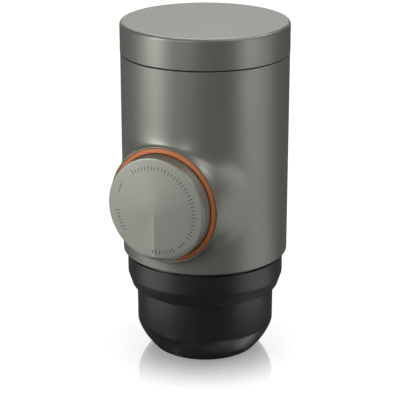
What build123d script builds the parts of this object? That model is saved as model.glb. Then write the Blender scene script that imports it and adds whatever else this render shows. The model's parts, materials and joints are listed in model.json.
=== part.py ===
from build123d import *
import os
from math import radians, sqrt, tan

# Handheld manual espresso maker, in millimetres, +Z up.
# The origin is the centre of the cup's underside, and the plunger knob faces -Y.
# The maker stands on its cup. Heights are stacked from the ground up and radii from
# the shell inwards, so each piece follows the one that carries it.

# ---------------------------------------------------------------- driving sizes
BODY_RADIUS = 34.4          # outside of the shell at its top rim
BODY_TAPER = 0.15           # how much slimmer the shell is at its foot
SHELL_WALL = 1.6
SHELL_FOOT_ROUND = 0.5      # round of the shell's foot
LEDGE_HEIGHT = 1.5          # inner ledge that the brew group pulls on
LEDGE_WIDTH = 1.8

CUP_HEIGHT = 45.8
CUP_WALL = 1.8
CUP_FLOOR = 2.2
CUP_BODY_HEIGHT = 27.2      # ground to the step under the grip band
CUP_CHAMFER_HEIGHT = 11.6   # height of the cup's slanted foot
CUP_BODY_INSET = 3.8        # how far the lower cup is set in from the grip band
CUP_FOOT_INSET = 6.9        # how far the foot is set in from the lower cup
CUP_SLANT_BULGE = 0.9       # how far the slanted foot stands out from a straight cone
CUP_CREASE_ROUND = 4.0
CUP_STEP_RISE = 1.1         # slope of the step's underside
CUP_STEP_INSET = 1.7        # how far the step's edge is set in from the grip band
CUP_BAND_STRAIGHT = 33.4    # height where the grip band becomes straight
CUP_INNER_DRAFT = 0.45      # how much the lower cup's inside widens up to the step
CUP_GAP = 0.3               # between the cup's band and the shell, all round
CUP_RIM_GAP = 0.2           # between the cup's rim and the brew group

GROUP_PLATE = 2.5
RING_DEPTH = 10.0           # threaded ring under the brew group's plate
RING_WALL = 2.5
RING_TO_CUP = 0.8           # between the threaded ring and the inside of the cup
RING_SIDE_GAP = 0.3         # soft grip ring to the cup, and plate to the shell
GRIP_GROOVE_RISE = 2.0      # groove for the grip ring above the threaded ring's foot
GRIP_GROOVE_HEIGHT = 3.0
GRIP_GROOVE_DEPTH = 1.0
SKIRT_DEPTH = 2.6           # shell's foot below the brew group's plate

LEAD = 9.0                  # travel of either screw thread in one turn
STARTS = 3
RIDGE = 1.1                 # axial thickness of a thread ridge at its root
RIDGE_DEPTH = 1.1           # of the outlet head's thread
NECK_RIDGE = 1.0            # depth of the lid's thread
NECK_RIDGE_RISE = 1.8       # first ridge above the tank's shoulder
HEAD_RIDGE_RISE = 1.4       # first ridge above the head's grip
THREAD_GAP = 0.4            # radial clearance of the threads
RIDGE_SWEEP = 150.0         # degrees of turn that each ridge covers

KNOB_RADIUS = 21.4
KNOB_WALL = 1.6
KNOB_FACE = 2.0             # thickness of the knob's front wall
KNOB_STANDOFF = 8.1         # knob's face in front of the shell's surface
KNOB_DISH = 1.2             # height of the shallow cone on the knob's face
KNOB_EDGE = 0.7
KNOB_GAP = 0.3              # between the knob and its guide
STROKE = 14.0               # travel of the plunger
KNOB_REST_GAP = 0.5         # between the pressed-in knob and the guide's flange
KNOB_TURN = 45.0            # degrees between locked and unlocked
LUGS = 3
LUG_ANGLE = 16.0            # degrees of the circle that a lug covers
LUG_LENGTH = 1.8
LUG_DEPTH = 1.5
LUG_END_GAP = 0.2           # between a pulled lug and the collar ring
SLOT_SIDE_GAP = 1.5         # degrees of clearance on each side of a lug

GUIDE_WALL = 1.6
GUIDE_FLANGE = 1.5
BOSS_LIP = 1.6              # lip of the boss in front of the shell's surface
BOSS_WALL = 0.7
BOSS_DRAFT = 6.0            # degrees
BOSS_BLEND = 1.2
BOSS_GAP = 0.2              # between the guide and the boss
COLLAR_LENGTH = 1.3
COLLAR_BEVEL = 0.9
COLLAR_PROUD = 0.8          # collar in front of the boss's lip

PLUNGER_RADIUS = 6.0
PLUNGER_FIT = 0.05          # radial running fit of the plunger in its cylinder
SEAL_FIT = 0.08             # radial running fit of the plunger's rings
CYLINDER_WALL = 1.45
CYLINDER_LENGTH = 26.5
CYLINDER_SEAT = 0.1         # radial slip of the cylinder in the pump block
HOUSING_WALL = 2.4
CHAMBER_RADIUS = 3.0
CHAMBER_REST = 1.0          # between the plunger's tip and the chamber at rest
FLANGE_RADIUS = 12.0
FLANGE_THICKNESS = 1.5
JOURNAL_RADIUS = 4.0
JOURNAL_FIT = 0.05          # radial running fit of the knob's hub on the plunger
HUB_LENGTH = 6.1
HUB_WALL = 3.4
HUB_DISC = 2.0
HUB_END_GAP = 0.3
CLIP_THICKNESS = 0.7
CLIP_WIDTH = 2.6
CLIP_GROOVE = 0.7           # depth of the clip's groove
SPRING_LENGTH = 10.7        # return spring at rest, squeezed
SPRING_RADIUS = 10.3
SPRING_WIRE = 1.0
SPRING_TURNS = 5.5
SPRING_END_GAP = 0.1
SEAT_THICKNESS = 0.8

VALVE_SETBACK = 4.0         # valve axis behind the end of the cylinder
COLUMN_WALL = 2.3
INLET_BORE = 4.2
VALVE_BORE = 2.8            # bore between the inlet valve and the chamber
BALL_RADIUS = 2.5
BALL_SIDE_GAP = 0.7
BALL_SEAT_GAP = 0.15
SEAT_BORE = 1.8
VALVE_SPRING_LENGTH = 6.4
CAP_LENGTH = 2.2
CAP_HOLE = 1.2
CAP_RECESS = 0.8            # cap set up into the block's underside
VALVE_SPRING_RADIUS = 1.7
VALVE_SPRING_WIRE = 0.4
VALVE_SPRING_TURNS = 4.5

INLET_FLANGE = 1.5          # thickness of the duckbill valve's flange
DUCKBILL = 5.0              # length of the duckbill below its flange
RETAINER_LENGTH = 2.5
PORT_SEAL = 1.2             # thickness of the seal ring under the tank's port
PORT_SEAL_WIDTH = 1.6
GROUP_SEAL = 1.0            # thickness of the seal ring under the pump block's outlet
GROUP_SEAL_WIDTH = 1.5
SEAL_SIDE_GAP = 0.2
GROUP_PORT_RADIUS = 1.5

BLOCK_BASE = 4.0
BLOCK_TOP = 3.0
BLOCK_GAP = 0.3             # between the block's base and the shell's ledge
GUIDE_LAYER_GAP = 0.6       # between the brew group's plate and the guide
GUIDE_TANK_GAP = 0.3
FRONT_DISC = 3.0
RIB = 2.4
RIB_HALF_SPACING = 12.0
RIB_REACH_BACK = 22.0
TANK_SCREW_X = 19.0         # tank screws stand on a rectangle
TANK_SCREW_FRONT = -9.0
TANK_SCREW_BACK = 13.0

TANK_HEIGHT = 31.3          # tank floor to the top of the tank's shoulder
TANK_WALL = 1.5
TANK_FLOOR_WALL = 2.2
TANK_GAP = 0.4              # between the tank and the shell
TANK_LIP = 1.0
LIP_OVERHANG = 0.8          # how far the tank's lip sits into the shell's rim
LIP_GAP = 0.1
NECK_HEIGHT = 8.7
NECK_WALL = 2.0
NECK_INSET = 4.2            # neck core set in from the tank's lip
PORT_RADIUS = 3.6
BOSS_RADIUS = 3.0
BOSS_HEIGHT = 3.3

LID_OVERHANG = 0.1
LID_SEAM = 0.5              # dark joint between the lid and the shell
LID_WALL = 1.9
LID_TOP = 1.8
LID_ROUND = 1.3
LID_LINER_GAP = 0.4
LINER_PLATE = 1.2
LINER_CLEARANCE = 0.5       # liner's foot above the lid's foot
GASKET = 0.9
GASKET_REST = 0.3           # gasket above the tank's neck
GASKET_TOP_GAP = 0.1
SPLINES = 6
SPLINE_WIDTH = 3.0
SPLINE_DEPTH = 1.0
SPLINE_HEIGHT = 6.0
SPLINE_GAP = 0.1

HEAD_CORE_WALL = 1.1
HEAD_TOP_GAP = 2.0          # outlet head below the brew group's plate
HEAD_THREAD = 8.6           # length of the head's threaded part
HEAD_GRIP = 8.4             # length of the head's grip below the ring
HEAD_FLOOR = 2.0
SPOUT_LENGTH = 9.0
SPOUT_RADIUS = 4.5
SPOUT_BORE = 2.0
TIP_LENGTH = 6.0
TIP_WALL = 1.4
TIP_OVERHANG = 2.5
BASKET_WALL = 0.5
BASKET_DEPTH = 11.6
BASKET_RIM = 0.6
BASKET_RIM_WIDTH = 1.9
BASKET_GAP = 0.4
BASKET_LIFT = 0.1           # rim above the head's ledge
BASKET_LEDGE = 1.4          # depth of the counterbore for the rim
SCREEN_THICKNESS = 0.5
SCREEN_RIM = 0.6            # rim that holds the shower screen off the plate
GROUP_GASKET = 1.1
GROUP_GASKET_WIDTH = 4.2

SCREW_RADIUS = 1.1
SCREW_GAP = 0.1
SCREW_HEAD_RADIUS = 2.0
SCREW_HEAD = 1.3
SCREW_BITE = 4.5            # thread length past the piece that is held

# ---------------------------------------------------------------- heights above ground
GROUP_PLATE_LOW = CUP_HEIGHT + CUP_RIM_GAP
GROUP_TOP = GROUP_PLATE_LOW + GROUP_PLATE
RING_LOW = GROUP_PLATE_LOW - RING_DEPTH
GRIP_GROOVE_LOW = RING_LOW + GRIP_GROOVE_RISE
SHELL_FOOT = GROUP_PLATE_LOW - SKIRT_DEPTH
GUIDE_RADIUS = KNOB_RADIUS + KNOB_GAP + GUIDE_WALL
KNOB_AXIS = GROUP_TOP + GUIDE_LAYER_GAP + GUIDE_RADIUS
TANK_LOW = KNOB_AXIS + GUIDE_RADIUS + GUIDE_TANK_GAP
TANK_TOP = TANK_LOW + TANK_HEIGHT
TANK_FLOOR_TOP = TANK_LOW + TANK_FLOOR_WALL
NECK_TOP = TANK_TOP + NECK_HEIGHT
NECK_RIDGES_LOW = TANK_TOP + NECK_RIDGE_RISE
LINER_PLATE_LOW = NECK_TOP + GASKET_REST + GASKET + GASKET_TOP_GAP
LID_LOW = TANK_TOP + LID_SEAM
LID_HIGH = LINER_PLATE_LOW + LINER_PLATE + LID_TOP
LID_CEILING = LID_HIGH - LID_TOP

# ---------------------------------------------------------------- radii
SHELL_BORE = BODY_RADIUS - SHELL_WALL
CUP_RADIUS = SHELL_BORE - CUP_GAP
CUP_BODY_RADIUS = CUP_RADIUS - CUP_BODY_INSET
CUP_INNER = CUP_RADIUS - CUP_WALL
CUP_BODY_INNER = CUP_BODY_RADIUS - CUP_WALL
PLATE_RADIUS = SHELL_BORE - RING_SIDE_GAP
RING_OUTER = CUP_INNER - RING_TO_CUP
RING_CORE = RING_OUTER - RING_WALL
HEAD_CORE = RING_CORE - RIDGE_DEPTH - THREAD_GAP
HEAD_RIM_BORE = HEAD_CORE - HEAD_CORE_WALL
BASKET_RIM_RADIUS = HEAD_RIM_BORE - BASKET_GAP
BASKET_RADIUS = BASKET_RIM_RADIUS - BASKET_RIM_WIDTH
HEAD_BORE = BASKET_RADIUS + BASKET_GAP
GASKET_RADIUS = RING_CORE - RIDGE_DEPTH - THREAD_GAP
SCREEN_RADIUS = GASKET_RADIUS - GROUP_GASKET_WIDTH - 0.5
GROUP_SCREW_CIRCLE = GASKET_RADIUS - GROUP_GASKET_WIDTH / 2
TANK_RADIUS = SHELL_BORE - TANK_GAP
TANK_INNER = TANK_RADIUS - TANK_WALL
LIP_RADIUS = SHELL_BORE + LIP_OVERHANG - LIP_GAP
NECK_CORE = LIP_RADIUS - NECK_INSET
NECK_BORE = NECK_CORE - NECK_WALL
LINER_CORE = NECK_CORE + NECK_RIDGE + THREAD_GAP
LID_RADIUS = BODY_RADIUS + LID_OVERHANG
LID_INNER = LID_RADIUS - LID_WALL
LINER_RADIUS = LID_INNER - LID_LINER_GAP
BOSS_BORE = GUIDE_RADIUS + BOSS_GAP
COLLAR_BORE = KNOB_RADIUS + KNOB_GAP
KNOB_INNER = KNOB_RADIUS - KNOB_WALL
CYLINDER_BORE = PLUNGER_RADIUS + PLUNGER_FIT
CYLINDER_RADIUS = CYLINDER_BORE + CYLINDER_WALL
HOUSING_RADIUS = CYLINDER_RADIUS + HOUSING_WALL
COLUMN_RADIUS = INLET_BORE + COLUMN_WALL
OUTLET_BORE = BALL_RADIUS + BALL_SIDE_GAP
HUB_BORE = JOURNAL_RADIUS + JOURNAL_FIT
HUB_RADIUS = HUB_BORE + HUB_WALL
KNOB_BOSS_CIRCLE = 14.0
GUIDE_SCREW_CIRCLE = KNOB_INNER - 3.3

# ---------------------------------------------------------------- reach from the main axis
KNOB_FRONT = BODY_RADIUS + KNOB_STANDOFF
BOSS_FRONT = BODY_RADIUS + BOSS_LIP
COLLAR_FRONT = BOSS_FRONT + COLLAR_PROUD
COLLAR_REAR = COLLAR_FRONT - COLLAR_LENGTH
KNOB_REAR = COLLAR_REAR - LUG_END_GAP - STROKE - LUG_LENGTH
GUIDE_REAR = KNOB_REAR - KNOB_REST_GAP - GUIDE_FLANGE
CYLINDER_REAR = GUIDE_REAR - CYLINDER_LENGTH
VALVE_REACH = CYLINDER_REAR - VALVE_SETBACK
VALVE_Y = -VALVE_REACH
PLUNGER_TIP = CYLINDER_REAR + CHAMBER_REST
SEAT_FRONT = GUIDE_REAR + SEAT_THICKNESS
FLANGE_REAR = SEAT_FRONT + SPRING_LENGTH
FLANGE_FRONT = FLANGE_REAR + FLANGE_THICKNESS
HUB_REAR = FLANGE_FRONT + HUB_END_GAP
HUB_FRONT = HUB_REAR + HUB_LENGTH
CLIP_REAR = HUB_FRONT + HUB_END_GAP
JOURNAL_FRONT = CLIP_REAR + CLIP_THICKNESS + 1.5
HUB_DISC_FRONT = HUB_FRONT - 0.4
HUB_DISC_REAR = HUB_DISC_FRONT - HUB_DISC
FACE_REAR = KNOB_FRONT - KNOB_FACE

PUMP = Plane(origin=(0, 0, KNOB_AXIS), x_dir=(1, 0, 0), z_dir=(0, -1, 0))


# ---------------------------------------------------------------- helpers
STANDING = (Align.CENTER, Align.CENTER, Align.MIN)


def rod(radius, low, high):
    """Cylinder on the Z axis between two heights."""
    return Pos(0, 0, low) * Cylinder(radius, high - low, align=STANDING)


def ring(outer, inner, low, high):
    """Tube on the Z axis between two heights."""
    return rod(outer, low, high) - rod(inner, low - 1, high + 1)


def cone(low_radius, high_radius, low, high):
    """Cone or cylinder on the Z axis between two heights."""
    return Pos(0, 0, low) * Cone(low_radius, high_radius, high - low, align=STANDING)


def turned(*curves):
    """Solid made by turning a closed outline of radius and height about the Z axis."""
    outline = Curve() + [curve for curve in curves]
    return revolve(make_face(Plane.XZ * outline), Axis.Z)


def turned_corners(*corners):
    """Turned solid whose outline has straight sides only."""
    return turned(Polyline(*corners, close=True))


def around(count, radius, first=0.0):
    """Places evenly spaced on a circle about the Z axis."""
    step = 360 / count
    return [Rot(0, 0, first + step * index) * Pos(radius, 0, 0) for index in range(count)]


def thread_ridges(root, tip, low):
    """Helical ridges of a right-hand thread with several starts, from a root to a tip radius."""
    bury = 0.3 if tip > root else -0.3
    path = Pos(0, 0, low) * Helix(pitch=LEAD, height=LEAD * RIDGE_SWEEP / 360, radius=root)
    outline = Polyline(
        (root - bury, -RIDGE / 2),
        (tip, -RIDGE / 4),
        (tip, RIDGE / 4),
        (root - bury, RIDGE / 2),
        close=True,
    )
    profile = make_face(Pos(0, 0, low) * (Plane.XZ * outline))
    ridge = sweep(profile, path=path, is_frenet=True)
    return [Rot(0, 0, 360 / STARTS * start) * ridge for start in range(STARTS)]


def coil(radius, wire, turns, low, high):
    """Round-wire spring between two heights, its wire inside them."""
    height = high - low - wire
    path = Pos(0, 0, low + wire / 2) * Helix(pitch=height / turns, height=height, radius=radius)
    section = Plane(origin=path @ 0, z_dir=path % 0) * Circle(wire / 2)
    return sweep(section, path=path, is_frenet=True)


def screw(head_radius, head_low, head_high, tip):
    """Pan-head screw on the Z axis, its head between two heights and its tip beyond it."""
    head = rod(head_radius, head_low, head_high)
    shank_low = min(head_high, tip)
    shank_high = max(head_low, tip)
    slot = Box(head_radius * 1.2, 0.5, 0.5)
    outer_face = head_low if tip > head_high else head_high
    return head + rod(SCREW_RADIUS, shank_low, shank_high) - Pos(0, 0, outer_face) * slot


# ---------------------------------------------------------------- cup
def bulged_middle(low, high):
    """Middle point of the slanted foot's arc between two points of radius and height."""
    return (low[0] + high[0]) / 2 + CUP_SLANT_BULGE, (low[1] + high[1]) / 2


def cup_outline_outside():
    """Outside of the cup from the axis at the ground up to its rim."""
    foot_edge = 0.6
    slant_low = (CUP_BODY_RADIUS - CUP_FOOT_INSET, foot_edge)
    slant_high = (CUP_BODY_RADIUS - 0.1, CUP_CHAMFER_HEIGHT)
    slant_middle = bulged_middle(slant_low, slant_high)
    foot = slant_low[0] - 1.0
    step_edge = (CUP_RADIUS - CUP_STEP_INSET, CUP_BODY_HEIGHT + CUP_STEP_RISE)
    rim = 0.5
    return [
        Polyline((0, 0), (foot, 0), slant_low),
        ThreePointArc(slant_low, slant_middle, slant_high),
        Polyline(
            slant_high,
            (CUP_BODY_RADIUS, CUP_BODY_HEIGHT),
            step_edge,
            (CUP_RADIUS, CUP_BAND_STRAIGHT),
            (CUP_RADIUS, CUP_HEIGHT - rim),
            (CUP_RADIUS - rim, CUP_HEIGHT),
            (0, CUP_HEIGHT),
            (0, 0),
        ),
    ]


def cup_outline_inside():
    """Hollow of the cup, open at its rim."""
    floor_edge = (CUP_BODY_INNER - CUP_FOOT_INSET + 0.6, CUP_FLOOR)
    slant_high = (CUP_BODY_INNER, CUP_CHAMFER_HEIGHT + 0.6)
    slant_middle = bulged_middle(floor_edge, slant_high)
    step_low = (CUP_BODY_INNER + CUP_INNER_DRAFT, CUP_BODY_HEIGHT + 1.0)
    step_edge = (CUP_INNER - CUP_STEP_INSET + 0.1, CUP_BODY_HEIGHT + CUP_STEP_RISE + 1.3)
    band_low = (CUP_INNER, CUP_BAND_STRAIGHT + 1.0)
    above = CUP_HEIGHT + 1
    return [
        Line((0, CUP_FLOOR), floor_edge),
        ThreePointArc(floor_edge, slant_middle, slant_high),
        Polyline(slant_high, step_low, step_edge, band_low, (CUP_INNER, above), (0, above), (0, CUP_FLOOR)),
    ]


def make_drinking_cup():
    """Cup with a wide grip band that slides up into the foot of the shell."""
    outside = turned(*cup_outline_outside())
    crease = [edge for edge in outside.edges() if abs(edge.center().Z - CUP_CHAMFER_HEIGHT) < 0.01]
    outside = fillet([edge for edge in crease if edge.geom_type == GeomType.CIRCLE], CUP_CREASE_ROUND)
    return outside - turned(*cup_outline_inside())


# ---------------------------------------------------------------- brew group
def make_brew_group():
    """Plate under the pump with the threaded ring that carries the outlet head."""
    plate = rod(PLATE_RADIUS, GROUP_PLATE_LOW, GROUP_TOP)
    wall = ring(RING_OUTER, RING_CORE, RING_LOW, GROUP_PLATE_LOW)
    groove_high = GRIP_GROOVE_LOW + GRIP_GROOVE_HEIGHT
    groove = ring(RING_OUTER + 1, RING_OUTER - GRIP_GROOVE_DEPTH, GRIP_GROOVE_LOW, groove_high)
    port = Pos(0, VALVE_Y, 0) * rod(GROUP_PORT_RADIUS, GROUP_PLATE_LOW - 1, GROUP_TOP + 1)
    seat_radius = OUTLET_BORE + GROUP_SEAL_WIDTH + 2 * SEAL_SIDE_GAP
    seal_seat = Pos(0, VALVE_Y, 0) * rod(seat_radius, GROUP_TOP - GROUP_SEAL, GROUP_TOP + 1)
    screen_hole = rod(SCREW_RADIUS + SCREW_GAP, GROUP_PLATE_LOW - 1, GROUP_TOP + 1)
    half_pitch = LEAD / STARTS / 2
    group = plate + wall + thread_ridges(RING_CORE, RING_CORE - RIDGE_DEPTH, HEAD_RIDGES_LOW + half_pitch)
    group = group - groove - port - seal_seat - screen_hole
    hole = rod(SCREW_RADIUS + SCREW_GAP, GROUP_PLATE_LOW - 1, GROUP_TOP + 1)
    sink = rod(SCREW_HEAD_RADIUS + SCREW_GAP, GROUP_PLATE_LOW - 1, GROUP_PLATE_LOW + SCREW_HEAD)
    for place in around(4, GROUP_SCREW_CIRCLE, 45):
        group = group - place * (hole + sink)
    return group


def make_group_screws():
    """Screws that hold the brew group to the pump block, heads sunk into the plate."""
    tip = GROUP_TOP + SCREW_BITE
    one = screw(SCREW_HEAD_RADIUS, GROUP_PLATE_LOW, GROUP_PLATE_LOW + SCREW_HEAD, tip)
    return [place * one for place in around(4, GROUP_SCREW_CIRCLE, 45)]


def make_cup_grip_ring():
    """Soft ring in the brew group's groove that holds the cup by friction."""
    inner = RING_OUTER - GRIP_GROOVE_DEPTH + 0.05
    low = GRIP_GROOVE_LOW + 0.1
    return ring(CUP_INNER - RING_SIDE_GAP, inner, low, low + GRIP_GROOVE_HEIGHT - 0.2)


def make_group_gasket():
    """Flat soft ring that the basket's rim is pressed against."""
    low = GROUP_PLATE_LOW - GROUP_GASKET
    return ring(GASKET_RADIUS, GASKET_RADIUS - GROUP_GASKET_WIDTH, low, GROUP_PLATE_LOW)


def make_shower_screen():
    """Perforated disc that spreads the water over the coffee."""
    high = GROUP_PLATE_LOW - SCREEN_RIM
    disc = rod(SCREEN_RADIUS, high - SCREEN_THICKNESS, high)
    rim = ring(SCREEN_RADIUS, SCREEN_RADIUS - 1.0, high - SCREEN_THICKNESS, GROUP_PLATE_LOW)
    screen = disc + rim - rod(SCREW_RADIUS + SCREW_GAP, high - 2, high + 1)
    hole = rod(0.5, high - 2, high + 1)
    for row in (1, 2, 3):
        for place in around(8 * row, SCREEN_RADIUS * row / 3.6 + 1.0):
            screen = screen - place * hole
    return screen


def make_shower_screen_screw():
    """Screw through the middle of the shower screen into the pump block."""
    low = GROUP_PLATE_LOW - SCREEN_RIM - SCREEN_THICKNESS
    return screw(SCREW_HEAD_RADIUS, low - 0.9, low, GROUP_TOP + SCREW_BITE - 1)


def make_group_port_seal():
    """Seal ring between the pump block's outlet and the brew group."""
    inner = OUTLET_BORE + SEAL_SIDE_GAP
    return Pos(0, VALVE_Y, 0) * ring(inner + GROUP_SEAL_WIDTH, inner, GROUP_TOP - GROUP_SEAL, GROUP_TOP)


# ---------------------------------------------------------------- outlet head and basket
HEAD_HIGH = GROUP_PLATE_LOW - HEAD_TOP_GAP
HEAD_LEDGE = HEAD_HIGH - BASKET_LEDGE
HEAD_GRIP_HIGH = HEAD_HIGH - HEAD_THREAD
HEAD_RIDGES_LOW = HEAD_GRIP_HIGH + HEAD_RIDGE_RISE
HEAD_LOW = HEAD_GRIP_HIGH - HEAD_GRIP
BASKET_RIM_LOW = HEAD_LEDGE + BASKET_LIFT
BASKET_LOW = BASKET_RIM_LOW + BASKET_RIM - BASKET_DEPTH
HEAD_BORE_LOW = BASKET_LOW - 0.9
SPOUT_LOW = HEAD_LOW - SPOUT_LENGTH


def make_outlet_head():
    """Dish that holds the basket, threaded outside and with a spout below."""
    side = HEAD_CORE + 0.1
    body = turned_corners(
        (SPOUT_BORE, SPOUT_LOW),
        (SPOUT_RADIUS, SPOUT_LOW),
        (SPOUT_RADIUS, HEAD_LOW),
        (side - 2.0, HEAD_LOW),
        (side, HEAD_LOW + 2.0),
        (side, HEAD_GRIP_HIGH),
        (HEAD_CORE, HEAD_GRIP_HIGH + 0.3),
        (HEAD_CORE, HEAD_HIGH),
        (HEAD_RIM_BORE, HEAD_HIGH),
        (HEAD_RIM_BORE, HEAD_LEDGE),
        (HEAD_BORE, HEAD_LEDGE),
        (HEAD_BORE, HEAD_BORE_LOW),
        (SPOUT_BORE, HEAD_LOW + HEAD_FLOOR),
    )
    flute = Box(1.2, 1.6, HEAD_GRIP - 3.2)
    middle = (HEAD_GRIP_HIGH + HEAD_LOW) / 2 + 0.8
    for place in around(16, side + 0.2):
        body = body - place * Pos(0, 0, middle) * flute
    return body + thread_ridges(HEAD_CORE, HEAD_CORE + RIDGE_DEPTH, HEAD_RIDGES_LOW)


def make_spout_tip():
    """Soft nozzle pushed over the spout."""
    low = SPOUT_LOW - TIP_OVERHANG
    outside = SPOUT_RADIUS + TIP_WALL
    return turned_corners(
        (SPOUT_BORE, low),
        (outside - 1.4, low),
        (outside, low + 1.4),
        (outside, low + TIP_LENGTH),
        (SPOUT_RADIUS, low + TIP_LENGTH),
        (SPOUT_RADIUS, SPOUT_LOW),
        (SPOUT_BORE, SPOUT_LOW),
    )


def make_filter_basket():
    """Thin steel basket with a turned-out rim and a perforated floor."""
    high = BASKET_RIM_LOW + BASKET_RIM
    inner = BASKET_RADIUS - BASKET_WALL
    basket = turned_corners(
        (0, BASKET_LOW),
        (BASKET_RADIUS - 1.0, BASKET_LOW),
        (BASKET_RADIUS, BASKET_LOW + 1.0),
        (BASKET_RADIUS, BASKET_RIM_LOW),
        (BASKET_RIM_RADIUS, BASKET_RIM_LOW),
        (BASKET_RIM_RADIUS, high),
        (inner, high),
        (inner, BASKET_LOW + 1.2),
        (inner - 0.8, BASKET_LOW + BASKET_WALL),
        (0, BASKET_LOW + BASKET_WALL),
    )
    hole = rod(0.45, BASKET_LOW - 1, BASKET_LOW + 2)
    for row in (1, 2, 3, 4):
        for place in around(6 * row, (BASKET_RADIUS - 3.0) * row / 4, 15 * row):
            basket = basket - place * hole
    return basket


# ---------------------------------------------------------------- shell
def boss_radius(reach):
    """Outer radius of the boss at a reach from the main axis."""
    return BOSS_BORE + BOSS_WALL + (BOSS_FRONT - reach) * tan(radians(BOSS_DRAFT))


def make_outer_shell():
    """Barrel with a rounded foot, an inner ledge, a rim for the tank and the knob's boss."""
    foot_radius = BODY_RADIUS - BODY_TAPER
    round_high = (foot_radius, SHELL_FOOT + SHELL_FOOT_ROUND)
    round_low = (foot_radius - SHELL_FOOT_ROUND, SHELL_FOOT)
    rebate = TANK_TOP - TANK_LIP
    rebate_radius = SHELL_BORE + LIP_OVERHANG
    skin = turned(
        TangentArc(round_high, round_low, tangent=(0, -1)),
        Polyline(
            round_high,
            (BODY_RADIUS, TANK_TOP - 0.3),
            (BODY_RADIUS - 0.3, TANK_TOP),
            (rebate_radius, TANK_TOP),
            (rebate_radius, rebate),
            (SHELL_BORE, rebate),
            (SHELL_BORE, GROUP_TOP + LEDGE_HEIGHT),
            (SHELL_BORE - LEDGE_WIDTH, GROUP_TOP + LEDGE_HEIGHT),
            (SHELL_BORE - LEDGE_WIDTH, GROUP_TOP),
            (SHELL_BORE, GROUP_TOP),
            (SHELL_BORE, SHELL_FOOT),
            round_low,
        ),
    )
    boss_rear = SHELL_BORE * 0.4
    boss = PUMP * cone(boss_radius(boss_rear), boss_radius(BOSS_FRONT), boss_rear, BOSS_FRONT)
    boss = boss - rod(SHELL_BORE, SHELL_FOOT - 5, TANK_TOP)
    shell = skin + boss
    outer_edges = [edge for edge in shell.edges() if is_boss_root(edge)]
    shell = fillet(outer_edges, BOSS_BLEND)
    return shell - PUMP * rod(BOSS_BORE, 0, BOSS_FRONT + 5)


def is_boss_root(edge):
    """Whether an edge is the line where the boss meets the outside of the barrel."""
    for step in (0.1, 0.35, 0.6, 0.85):
        point = edge @ step
        from_axis = sqrt(point.X**2 + point.Y**2)
        from_knob = sqrt(point.X**2 + (point.Z - KNOB_AXIS) ** 2)
        on_barrel = BODY_RADIUS - BODY_TAPER - 0.05 < from_axis < BODY_RADIUS + 0.05
        on_boss = abs(from_knob - boss_radius(-point.Y)) < 0.05
        if not (on_barrel and on_boss and point.Y < 0):
            return False
    return True


# ---------------------------------------------------------------- pump block and valves
CAP_LOW = GROUP_TOP + CAP_RECESS
CAP_HIGH = CAP_LOW + CAP_LENGTH
BALL_CENTRE = CAP_HIGH + VALVE_SPRING_LENGTH + SPRING_END_GAP + BALL_RADIUS
OUTLET_SEAT = BALL_CENTRE - SEAT_BORE + sqrt(2) * (BALL_RADIUS + BALL_SEAT_GAP)
SEAT_CONE_LOW = OUTLET_SEAT - (OUTLET_BORE - SEAT_BORE)
RETAINER_LOW = TANK_LOW - PORT_SEAL - RETAINER_LENGTH
INLET_SHOULDER = RETAINER_LOW - INLET_FLANGE


def tank_screw_places():
    """Places of the four screws under the tank, on a rectangle."""
    rows = (TANK_SCREW_FRONT, TANK_SCREW_BACK)
    return [Pos(side * TANK_SCREW_X, row, 0) for side in (-1, 1) for row in rows]


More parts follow.
